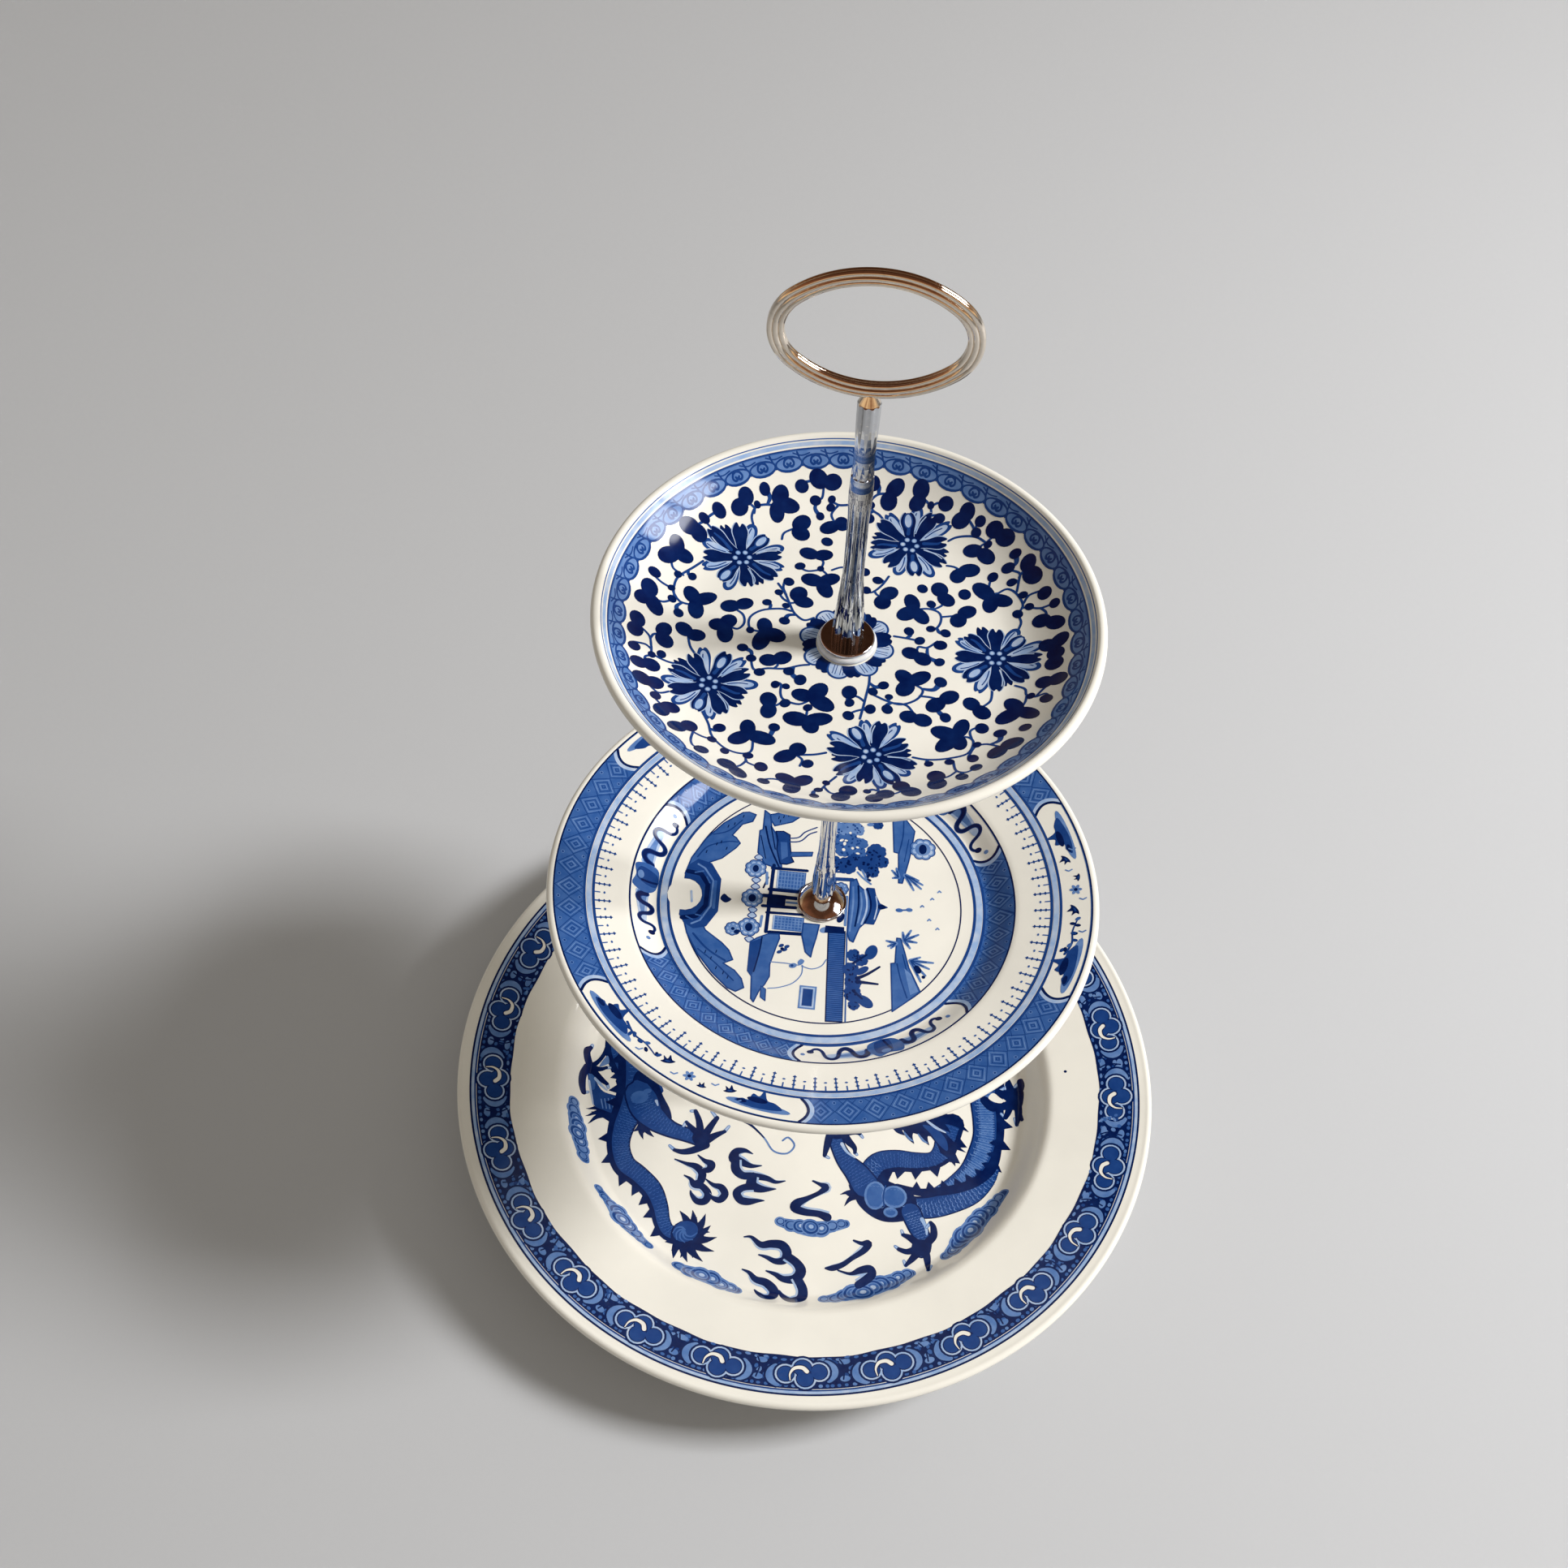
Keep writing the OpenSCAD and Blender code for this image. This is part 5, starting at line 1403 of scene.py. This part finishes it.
def comb(art):
    """The border of ticks: long ones with side dots and short dotted ones by turns."""
    for i in range(TICKS):
        turn = 360 * i / TICKS
        art.bar(MID, [spot(67.8, turn), spot(72.8, turn)], 0.4, 0.55)
        for radius in (68.2, 69.8, 71.4):
            art.dot(COBALT, spot(radius, turn), 0.34, 0.62, turn, 8)
        between = turn + 180 / TICKS
        art.bar(MID, [spot(71.2, between), spot(72.8, between)], 0.45)
        art.dot(MID, spot(69.7, between), 0.34, 0.5, between, 8)


def rosette(art, at, size, eye, turn=0.0):
    """A pale flower of eight lobes with a dark eye."""
    for tone, grow in ((COBALT, 0.35), (SOFT, 0.0), (WASH, -0.55)):
        for k in range(8):
            if 0.36 * size + grow > 0.1:
                art.dot(tone, beside(at, 0.62 * size, turn + 45 * k), 0.36 * size + grow)
    art.dot(SOFT, at, 0.62 * size)
    art.dot(NAVY, at, *eye)


def foliage(art, rng, spots, tone=COBALT, leaf=NAVY):
    """Clouds of leaves: (x, y, radius) each, with a ragged edge and darker dabs."""
    for x, y, radius in spots:
        for k in range(9):
            place = beside((x, y), 0.66 * radius, 40 * k + rng.uniform(-9, 9))
            art.dot(tone, place, rng.uniform(0.36, 0.48) * radius, steps=10)
        art.dot(tone, (x, y), 0.8 * radius)
    for x, y, radius in spots:
        for k in range(6):
            place = (x + rng.uniform(-0.7, 0.7) * radius, y + rng.uniform(-0.7, 0.7) * radius)
            size = (rng.uniform(0.12, 0.24) * radius, rng.uniform(0.1, 0.16) * radius)
            art.dot(leaf, place, *size, rng.uniform(0, 180), 8)


def mountains(art):
    """Hills along the left shore round a white moon."""
    upper = [(-43.8, 8), (-42.4, 14.6), (-38.6, 22.6), (-33.4, 29.6), (-27.6, 34.6), (-25.6, 35),
             (-23.2, 34.2), (-24.1, 31.3), (-27.3, 29.8), (-30.2, 25), (-28.8, 24.1), (-27.3, 22),
             (-28.5, 20), (-32.6, 15.4), (-36.6, 13.2), (-38.4, 9)]
    lower = [(-42, -10), (-40.6, -14.6), (-36.4, -21.8), (-31, -28.4), (-25.6, -33.4), (-22.9, -34.4),
             (-20.5, -32.8), (-21.6, -29.6), (-24.1, -26.8), (-27.9, -24.6), (-25, -23), (-26.6, -19.6),
             (-29.1, -17.1), (-34.8, -13), (-37, -9)]
    middle = [(-43.9, 9), (-42.6, 12), (-40.2, 14.2), (-35.6, 13), (-31.9, 7.2), (-31.6, -5.4),
              (-34.8, -11.6), (-38.8, -12.8), (-42, -11), (-43.9, -8)]
    art.edged(MID, COBALT, upper, 0.5)
    art.edged(MID, COBALT, lower, 0.5)
    art.line(COBALT, [(-40.6, 15), (-37.6, 19.6), (-31.6, 22.2), (-28.2, 22.4)], 0.5)
    art.line(COBALT, [(-36.4, 24.6), (-31.6, 26.6), (-27.6, 31.4)], 0.5)
    art.line(COBALT, [(-38.6, -14.6), (-33.6, -19.8), (-27.4, -23.6)], 0.7)
    art.line(COBALT, [(-36.4, -20.2), (-30.6, -24.6), (-24, -30.6)], 0.5)
    for x, y in ((-30, 29.2), (-32, 28), (-27.4, 32.6), (-35, 20.4), (-33.6, 21.4), (-31.6, 19), (-38, 17),
                 (-34, -21.4), (-32, -23.6), (-30.6, -21), (-27.6, -28.6), (-26, -30), (-30, -27)):
        art.bar(NAVY, [(x, y), (x + 0.2, y + 0.9)], 0.35)
    art.paint(COBALT, [middle])
    art.bar(NAVY, [(-43, 9), (-38.6, 8.4), (-36, 4.6), (-35.8, -3.6), (-38.4, -8), (-42.8, -9)], 1.6)
    art.bar(SOFT, [(-40, 12.2), (-37.6, 10.8), (-34.4, 6.2), (-34.2, -3.6), (-37, -9.4), (-39.6, -11)], 0.6)
    art.bar(MID, [(-33.6, 6), (-33.2, -4.2)], 0.9)
    art.line(MID, [(-40.6, 8.8), (-38, 9.6)], 0.5)
    art.line(MID, [(-36.6, 7.4), (-35.4, 5.2)], 0.5)
    art.line(MID, [(-38.6, -7.4), (-36.4, -7.8)], 0.5)
    art.line(MID, [(-41.6, -8.4), (-39.4, -9.4)], 0.5)
    art.dot(BARE, (-43, 0), 5.6, 6.1)
    art.line(WASH, [(-41, 1.4), (-40.4, -2.6)], 0.7)
    art.blob(NAVY, [(-31.4, -0.4), (-30.4, 1.6), (-29, 0.6), (-27.8, -0.4), (-29.6, -1.8)])


def tower(art):
    """The tall roofs, beams and terraces left of the middle, with painted shadow of the column between the
    terraces.
    """
    art.edged(MID, COBALT, [(-18.5, 34.8), (-12.3, 36.9), (-6.9, 36.6), (-11, 32.6), (-16.6, 30.4),
                            (-18, 32.6)], 0.5)
    for x, y in ((-15.6, 33.4), (-14, 34), (-12.4, 34.8), (-10.6, 35.4), (-15, 32)):
        art.bar(NAVY, [(x, y), (x + 0.1, y + 1)], 0.35)
    art.edged(MID, COBALT, [(-20.4, 36.3), (-18.5, 34.8), (-17.6, 29.8), (-16, 27.3), (-14.8, 22.3),
                            (-13.5, 18.5), (-12.9, 14.1), (-14.8, 13.5), (-18.5, 14.8), (-21.1, 19.1),
                            (-21.3, 27.9), (-20.3, 28.5)], 0.5)
    art.line(NAVY, [(-19.6, 29.8), (-17.4, 22), (-13.6, 13.8)], 0.6)
    art.line(NAVY, [(-17.8, 30), (-15.6, 21)], 0.4)
    art.line(NAVY, [(-20.8, 26), (-18.4, 17)], 0.35)
    art.edged(COBALT, NAVY, [(-16, 28.2), (-13.5, 28.5), (-11.3, 27.3), (-11, 24.1), (-10.1, 18.5),
                             (-9.1, 16.6), (-11.3, 15.4), (-13.5, 15.4), (-15.1, 21), (-15.1, 24.8)], 0.45)
    art.paint(MID, [[(-14.2, 24.6), (-12, 24.8), (-11.2, 18.6), (-13.2, 17)]])
    for path in (((-15, 25.6), (-8.8, 26.4), (-6.4, 29), (-2.6, 31.4)),
                 ((-14, 24.4), (-8, 25), (-5, 28.2), (-2.6, 29.6))):
        art.line(COBALT, path, 0.5)
    art.edged(MID, COBALT, [(-10.6, 18.6), (-3.4, 19.6), (-3.2, 21.2), (-10.2, 20.4)], 0.4)
    for x0, x1, y0, y1 in ((-14, -4.6, 5.6, 12.8), (-13.8, -3.8, -10.2, -4.8)):
        art.paint(MID, [panel(x0, y0, x1, y1)])
        for k in range(9):
            x = x0 + (x1 - x0) * (k + 0.5) / 9
            art.bar(SOFT, [(x, y0 + 0.4), (x, y1 - 0.4)], 0.34)
        for k in range(5):
            y = y0 + (y1 - y0) * (k + 0.5) / 5
            art.bar(SOFT, [(x0 + 0.4, y), (x1 - 0.4, y)], 0.3)
        art.bar(WASH, [(x0 + 0.3, y1 - 0.2), (x0 + 0.3, y0 + 0.2)], 0.4)
    # the bars at y 2.4 and -1.6, with the navy block below, are dark print drawn darker and fuller as
    # painted shadow of the column
    for (x0, y0), (x1, y1), width in (((-15.8, 13.4), (-4.4, 13.6), 1.1), ((-16, 5), (-4, 5), 1.3),
                                      ((-15.4, 14.6), (-15.6, -11.4), 1.2), ((-16, -4), (-4, -3.6), 1.0),
                                      ((-14.6, -11.4), (-3.8, -11), 1.3), ((-17.8, 2.4), (-7, 2.4), 1.4),
                                      ((-17.6, -1.6), (-7, -1.2), 1.2), ((-18, 5.4), (-16.8, 9.6), 0.6)):
        art.bar(NAVY, [(x0, y0), (x1, y1)], width)
    # painted shadow of the column over dark print, between the terraces
    art.paint(NAVY, [panel(-16.4, -1, -10.4, 3.2)])
    art.bar(SOFT, [(-10, 0.6), (-4, 0.6)], 0.8)
    art.line(SOFT, [(-17.4, -5.6), (-17.6, -9.6)], 0.9)
    art.line(SOFT, [(-17, 7), (-17.4, 11.4)], 0.9)
    for y, eye in ((12.6, (1.0, 1.4)), (1.0, (1.2, 1.5)), (-10.2, (1.2, 1.6))):
        rosette(art, (-21.2, y), 3.4, eye, 22.5)
        for lift in (4.4, -4.4):
            leaf = [(-22, y + lift), (-20.6, y + 1.3 * lift), (-19.2, y + lift), (-20.6, y + 0.8 * lift)]
            art.edged(WASH, COBALT, leaf, 0.35, True)


def cliff(art):
    """The rock and the small things between it and the path."""
    art.edged(MID, COBALT, [(-20.1, -15.6), (-18.2, -14), (-14.8, -12.1), (-11.3, -11.8), (-11, -13.4),
                            (-11.9, -17.1), (-13.2, -23.4), (-12.9, -27.8), (-14.1, -30.9), (-15.5, -33),
                            (-17, -37.6), (-17.9, -36.5), (-18.5, -28.4), (-19.9, -26.5)], 0.45)
    art.paint(COBALT, [[(-20, -15.8), (-16.8, -14), (-17, -20), (-18.4, -28), (-19.8, -26.4)]])
    art.line(NAVY, [(-16.6, -13.6), (-16.9, -19), (-18, -26.6)], 0.5)
    art.edged(MID, COBALT, [(-15.2, -31.6), (-13.6, -32.6), (-13.4, -36.8), (-15, -35.6)], 0.35)
    for x, y in ((-10.2, -16), (-9, -17.4), (-10.6, -18.4), (-8.4, -16.2)):
        art.dot(COBALT, (x, y), 0.9, 0.6, 30)
    art.dot(NAVY, (-9.8, -17.2), 0.6)
    rosette(art, (-26.2, -11.4), 2.4, (0.6, 0.6))
    art.dot(NAVY, (-24.8, -12.4), 1.0, 0.8, 20)
    for path in (((-13, -22.4), (-8, -22.4), (-4, -22.6), (-2.6, -21), (-3.6, -20.4)),
                 ((-2.9, -22.6), (-3, -26), (-5.4, -29.4), (-9.4, -31.4), (-13, -32.2)),
                 ((-3.2, -22.8), (0, -23.6), (3, -22.2), (4.4, -19.6))):
        art.line(SOFT, path, 0.36)
    art.dot(SOFT, (-5.9, -23), 1.3, 0.9, 20)
    art.dot(SOFT, (-3.6, -21.4), 1.2, 0.8, 60)
    art.dot(COBALT, (-6.2, -23), 0.5)
    for tone, grow in ((SOFT, 0.0), (WASH, -0.55), (COBALT, -1.1)):
        art.paint(tone, [panel(-3.1 - grow, -38.3 - grow, 2.3 + grow, -29.9 + grow)])
    art.edged(MID, COBALT, [(-4, -6.8), (1.2, -6.8), (0.6, -11.6), (-0.2, -16), (-0.6, -19.2),
                            (-2.4, -17.6), (-4, -11.6)], 0.5)
    art.dot(SOFT, (3, -8.6), 1.6, 1.1, 20)


def path_and_trees(art, rng):
    """The tiled path to the shore with trees on its right, and the wood behind the column."""
    art.edged(COBALT, NAVY, [(4.3, -9.6), (9.6, -8.4), (11, -41.6), (5.9, -42)], 0.4)
    for k in range(46):
        y = -9.8 - 0.7 * k
        x = 4.6 + 0.05 * k * 0.7
        art.bar(MID, [(x, y), (x + 4.8, y + 0.1)], 0.3)
    art.paint(NAVY, [[(3, -9.6), (9.4, -9.2), (9.2, -6.8), (3.2, -6.8)]])
    art.bar(MID, [(10.2, -9), (12, -41.4)], 0.5)
    foliage(art, rng, ((12.8, -17, 2.2), (15.4, -18.6, 2.2), (12.4, -22.6, 2.6), (13.4, -27, 2.6),
                       (13.6, -31.2, 2.8), (14.2, -35.2, 1.8)))
    art.dot(COBALT, (18.4, -15.3), 1.9, 2.9, -20)
    art.dot(COBALT, (17.6, -33.6), 3.0, 1.8, -35)
    art.dot(COBALT, (16, -22.4), 2.4, 1.2, 40)
    for path, width in ((((14.5, -25.4), (17.6, -23.6), (21.4, -20.4)), 1.3),
                        (((14.6, -26.6), (21.2, -26.8)), 1.3), (((13, -20), (17, -16.4)), 0.9),
                        (((13.6, -30), (16.6, -32.6)), 0.9)):
        art.line(NAVY, path, width, 0.7)
    foliage(art, rng, ((4.8, 34.6, 2.6), (8.8, 35, 2.6), (10.8, 32, 2.4), (6.2, 31.4, 2.4)), SOFT, COBALT)
    foliage(art, rng, ((5, 27.2, 2.6), (9.2, 27.6, 2.8), (12.4, 26.4, 2.2), (7, 23.4, 2.8),
                       (11.6, 22.6, 2.6)), MID, COBALT)
    foliage(art, rng, ((4.4, 17.6, 2.8), (8.4, 17.2, 3.2), (14.6, 18.6, 3.2), (17.6, 23.6, 3.2),
                       (19.4, 20, 2.4), (16.6, 15.8, 2.4), (10.6, 20, 2.2)))
    for k in range(10):
        place = (rng.uniform(3.4, 12), rng.uniform(22, 36))
        pebble(art, BARE, place, (0.5, 0.9), (0.4, 0.6), rng, 10)
    art.line(NAVY, [(15.8, 14.4), (15.2, 12.8), (16.2, 12.2)], 1.0)
    foliage(art, rng, ((17.4, 34.8, 1.8),))
    art.dot(SOFT, (15, 34.6), 1.2, 0.7, 10)


def pagoda(art):
    """The pointed roof right of the middle, with its porch."""
    art.edged(MID, COBALT, [(10, 11.2), (11.8, 12.3), (12.8, 9.8), (14.9, 7.9), (15.6, 9.1), (17.8, 9.1),
                            (18.4, 6.6), (19.9, 3.5), (22.4, 2.3), (20.1, 1.3), (19, -2.8), (18.4, -4.6),
                            (15.6, -4.5), (14, -6.5), (12.4, -12.1), (11.2, -11.5), (10.3, -9)], 0.5)
    art.paint(COBALT, [[(15.4, 9), (17.8, 9), (18.4, 6.4), (19.6, 3.4), (21.8, 2.3), (19.6, 1), (18.6, -3),
                        (18.2, -4.4), (15.6, -4.4), (17, 0), (17.2, 4)]])
    art.line(NAVY, [(15.6, 8.8), (17, 4), (17, 0), (15.6, -4.4)], 0.6)
    art.line(NAVY, [(12.6, 9.6), (13.2, 2), (12.6, -6)], 0.6)
    art.dot(NAVY, (20.6, 2.3), 1.4, 0.9)
    art.line(WASH, [(14.9, 8.2), (15.8, 4), (15.8, 0), (14.6, -5)], 0.6)
    art.line(WASH, [(18.6, 6.2), (19.2, 2.2), (18.6, -2.6)], 0.4)
    art.line(SOFT, [(11, 9), (11.4, 2), (11, -8)], 0.6)
    art.line(SOFT, [(13.6, 7), (14.2, 2), (13.4, -4.6)], 0.5)
    art.bar(COBALT, [(3.4, 11.4), (10.6, 11.8)], 1.4)
    art.bar(COBALT, [(3.6, 14.2), (9, 14.6)], 0.7)
    rosette(art, (7, 7.8), 2.4, (0.6, 0.8))
    art.paint(COBALT, [[(3.4, 12), (5.4, 12), (5.4, 5), (3.4, 3)]])
    art.bar(SOFT, [(9.2, 5), (9.4, -6)], 0.9)
    art.dot(NAVY, (7.8, -3.4), 1.1, 2.0, -20)
    for path in (((12, 15), (13.6, 13.2), (16.6, 10.8)), ((13.4, 16), (15, 12.8))):
        art.line(SOFT, path, 0.7)


def far_shore(art):
    """Rocks, a pavilion and reeds along the right shore, with birds over the water."""
    art.edged(MID, COBALT, [(22.1, 40.2), (23.4, 24.4), (24.9, 24.1), (25.6, 12.3), (26.8, 12.3),
                            (28.4, 21), (29, 25.4), (29.8, 33.6), (26.4, 38.4)], 0.45)
    art.line(COBALT, [(25.9, 38), (26, 31), (25, 24)], 0.5)
    art.line(COBALT, [(28, 30), (27, 21)], 0.35)
    art.edged(MID, COBALT, [(26.2, -9), (27.4, -9), (29, -14), (30.6, -19.6), (34.6, -28), (30.8, -32),
                            (26.3, -36.2), (24.9, -18.7), (26.2, -18.4)], 0.45)
    art.line(COBALT, [(26.8, -18.6), (28.2, -24), (30.6, -30.8)], 0.5)
    art.line(COBALT, [(28.4, -15), (30, -21)], 0.4)
    art.paint(SOFT, [[(29.2, -20), (31.4, -22), (34, -28), (31.6, -29.6)]])
    rosette(art, (32.8, 26.6), 4.2, (1.3, 2.0), 22.5)
    for base, tips in (((27.6, 15.6), ((33.4, 12.4), (33, 10.8), (30.6, 10), (32, 14))),
                       ((25.4, 14.6), ((23.2, 17), (23.6, 14), (24.6, 18))),
                       ((28.6, -9.6), ((30.6, -5.6), (33, -7), (32.6, -10), (30.6, -12.4), (28, -6.6))),
                       ((26, -11), ((23, -10.4), (23.6, -12.4), (24.6, -13))),
                       ((31, -17), ((34, -15.4), (38.2, -17), (37, -19.4), (36, -22), (34.6, -24.4)))):
        for tip in tips:
            art.bar(SOFT, [base, tip], 1.5, 0.7)
        for tip in tips:
            art.bar(COBALT, [base, toward(base, tip, 0.7)], 0.45)
    art.dot(NAVY, (33.4, -20), 1.1, 1.6, 30)
    art.dot(NAVY, (35.4, -22.6), 0.6)
    art.dot(SOFT, (26.4, 1.7), 1.2, 0.8)
    art.dot(SOFT, (29.6, 2.2), 1.1, 0.8)
    art.bar(MID, [(25.6, 1.6), (30.4, 2.3)], 0.6)
    for x, y in ((33.7, 4.1), (36.8, 7.3), (39, 10.4), (36.2, -0.9), (39, -4)):
        art.bar(SOFT, [(x - 0.5, y - 0.4), (x, y + 0.3), (x + 0.5, y - 0.2)], 0.5)


def middle_painting(plate):
    """A lake landscape inside comb ticks and two diaper bands with white windows."""
    rng = random.Random(5)
    art = Painting(plate)
    windowed_band(art, 76.2, 85.4, OUTER_WINDOWS, 8.0)
    windowed_band(art, 53.0, 61.7, INNER_WINDOWS, 6.4)
    for middle, half in INNER_WINDOWS:
        inner_window(art, middle, half, rng)
    for middle, half in OUTER_WINDOWS:
        outer_window(art, middle, half, rng)
    comb(art)
    for inner, outer in ((50.0, 52.0), (73.8, 75.4)):
        art.paint(WASH, ring(inner, outer))
    for radius, width in ((49.5, 0.9), (52.6, 0.9), (73.2, 0.9), (76.0, 0.8)):
        art.paint(COBALT, line_ring(radius, width))
    for radius, width in ((45.0, 0.45), (61.8, 0.5), (85.7, 0.7)):
        art.paint(NAVY, line_ring(radius, width))
    lake = Painting(plate)
    mountains(lake)
    tower(lake)
    cliff(lake)
    path_and_trees(lake, rng)
    pagoda(lake)
    far_shore(lake)
    for tone, shape in zip(lake.tones, lake.shapes):
        art.paint(tone, move([shape], (-1.3, -2.0)))
    art.dot(BARE, (0, 0), 6.6, steps=40)       # bare glaze round the column
    return art


# ------------------------------------------------------------------ camera, floor, light

def place_camera():
    """The photograph's view: a hand-held camera in front of the stand, looking down at it."""
    image_side, focal, sensor = 1932, 2450, 36.0
    place = Vector((0, -0.35733, 0.67123))
    pitch, yaw, roll = (math.radians(a) for a in (52.96, -2.34, 3.59))
    ahead = Vector((math.sin(yaw) * math.cos(pitch), math.cos(yaw) * math.cos(pitch), -math.sin(pitch)))
    right = Vector((math.cos(yaw), -math.sin(yaw), 0))
    up = right.cross(ahead)
    side = right * math.cos(roll) + up * math.sin(roll)
    top = up * math.cos(roll) - right * math.sin(roll)
    data = bpy.data.cameras.new("camera")
    data.sensor_width = sensor
    data.lens = focal / image_side * sensor
    camera = bpy.data.objects.new("camera", data)
    camera.matrix_world = Matrix.Translation(place) @ Matrix((side, top, -ahead)).transposed().to_4x4()
    bpy.context.scene.collection.objects.link(camera)
    bpy.context.scene.camera = camera


def lamp(name, place, target, size, energy):
    """A soft rectangular lamp at place, turned to target and left out of reflections."""
    data = bpy.data.lights.new(name, "AREA")
    data.shape = "RECTANGLE"
    data.size, data.size_y = size
    data.energy = energy
    made = bpy.data.objects.new(name, data)
    made.location = place
    made.rotation_euler = (Vector(target) - Vector(place)).to_track_quat("-Z", "Y").to_euler()
    made.visible_glossy = False
    bpy.context.scene.collection.objects.link(made)


def make_floor():
    """A plain pale floor under the stand."""
    material, tree, shader = new_material("pale_floor")
    plug(tree, shader, {"Base Color": (0.58, 0.585, 0.60, 1), "Roughness": 0.9})
    half = 6.0
    corners = [(-half, -half, 0), (half, -half, 0), (half, half, 0), (-half, half, 0)]
    mesh_object("floor", corners, [(0, 1, 2, 3)], [material])


def sums(tree, operation, *values):
    """One step of arithmetic on sockets or numbers."""
    inputs = dict(enumerate(values))
    return add(tree, "ShaderNodeMath", inputs, operation=operation).outputs["Value"]


def window_panes(tree, direction, azimuth, elevation):
    """1 where a direction looks into the window's two panes, 0 elsewhere."""
    wide, high, bar = 0.23, 0.17, 0.02
    inputs = {"Rotation": (0, -elevation, azimuth), "Vector": direction}
    turned = add(tree, "ShaderNodeMapping", inputs, vector_type="TEXTURE")
    split = add(tree, "ShaderNodeSeparateXYZ", {"Vector": turned.outputs["Vector"]})
    aside = sums(tree, "ABSOLUTE", split.outputs["Y"])
    above = sums(tree, "ABSOLUTE", split.outputs["Z"])
    ahead = sums(tree, "GREATER_THAN", split.outputs["X"], 0.0)
    across = sums(tree, "LESS_THAN", aside, wide)
    inside = sums(tree, "MULTIPLY", across, sums(tree, "LESS_THAN", above, high))
    clear = sums(tree, "MULTIPLY", inside, sums(tree, "GREATER_THAN", aside, bar))
    return sums(tree, "MULTIPLY", clear, ahead)


def room_colour(tree, direction):
    """The room's walls in reflections: warm at eye level, dark above, and dimmer beyond the stand."""
    split = add(tree, "ShaderNodeSeparateXYZ", {"Vector": direction})
    inputs = {"Scale": 2.2, "Detail": 3.0, "Vector": direction}
    clutter = add(tree, "ShaderNodeTexNoise", inputs).outputs["Fac"]
    height = sums(tree, "MULTIPLY_ADD", clutter, 0.5, split.outputs["Z"])
    walls = ramp(tree, height, [
        (0.20, (0.30, 0.27, 0.25)), (0.44, (0.95, 0.66, 0.38)), (0.60, (0.30, 0.13, 0.06)),
        (0.85, (0.20, 0.075, 0.036)), (1.0, (0.10, 0.04, 0.02))])
    inputs = {"From Min": 0.2, "From Max": 0.5, "To Min": 1.0, "To Max": 0.38, "Value": split.outputs["Y"]}
    dimmer = add(tree, "ShaderNodeMapRange", inputs).outputs["Result"]
    return mix(tree, 1.0, walls, dimmer, blend_type="MULTIPLY")


def light_scene():
    """One soft window to the right, and a room that is pale to light by and brown in reflections."""
    distance, azimuth, elevation = 1.9, math.radians(4), math.radians(35)
    level = distance * math.cos(elevation)
    window = (level * math.cos(azimuth), level * math.sin(azimuth), 0.25 + distance * math.sin(elevation))
    lamp("window", window, (0, 0, 0.2), (0.50, 0.42), 44.0)
    world = bpy.data.worlds.new("room")
    world.use_nodes = True
    tree = world.node_tree
    direction = add(tree, "ShaderNodeTexCoord").outputs["Generated"]
    room = room_colour(tree, direction)
    panes = window_panes(tree, direction, azimuth, elevation)
    seen = mix(tree, panes, room, (14, 14, 14, 1))
    glossy = add(tree, "ShaderNodeLightPath").outputs["Is Glossy Ray"]
    plug(tree, tree.nodes["Background"], {"Color": mix(tree, glossy, (0.305, 0.288, 0.260, 1), seen)})
    bpy.context.scene.world = world


# ------------------------------------------------------------------ the stand

def build():
    """Dresses the frame and adds the plates' bodies and their decoration."""
    dress(chrome_material("bright_chrome", (0.68, 0.68, 0.69)),
          *[n for n in nodes if "disc" in n or "cap" in n], "base_screw", "lower_rod", "middle_rod")
    dress(rod_material(), "upper_rod")
    # the ring's warm tint is painted reflection: it stands for the brown room that the chrome mirrors
    dress(chrome_material("chrome_tinted_as_warm_reflection", (0.76, 0.68, 0.58)), "ring_handle")
    dress(plastic_material(), *[n for n in nodes if "washer" in n or "pad" in n])
    dress(zinc_material(), *[n for n in nodes if "stud" in n])
    body_materials = [glaze_material(), biscuit_material()]
    inks = [
        ink_material("navy", NAVY_INK, COBALT_INK, 0.25),
        ink_material("cobalt", COBALT_INK, MID_INK, 0.3),
        ink_material("mid_blue", MID_INK, SOFT_INK, 0.5),
        ink_material("soft_blue", SOFT_INK, WASH_INK, 0.4),
        ink_material("wash", WASH_INK, GLAZE, 0.4),
    ]
    tiers = (
        (Plate("lower_plate", 160, wall_run=12, wall_h=9, foot_h=5.0), lower_painting),
        (Plate("middle_plate", 107, wall_run=10, wall_h=3.2), middle_painting),
        (Plate("upper_plate", 74, curve=2.35), upper_painting),
    )
    for plate, painter in tiers:
        body = lathe(plate, body_materials)
        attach(body, plate.name)
        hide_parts(plate.name)
        bends = [plate.well_r + (plate.join_r - plate.well_r) * i / 20 for i in range(21)]
        for sheet in painter(plate).sheets(inks, bends):
            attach(sheet, plate.name)


place_camera()
make_floor()
light_scene()
build()
bpy.context.scene.view_settings.view_transform = "Standard"
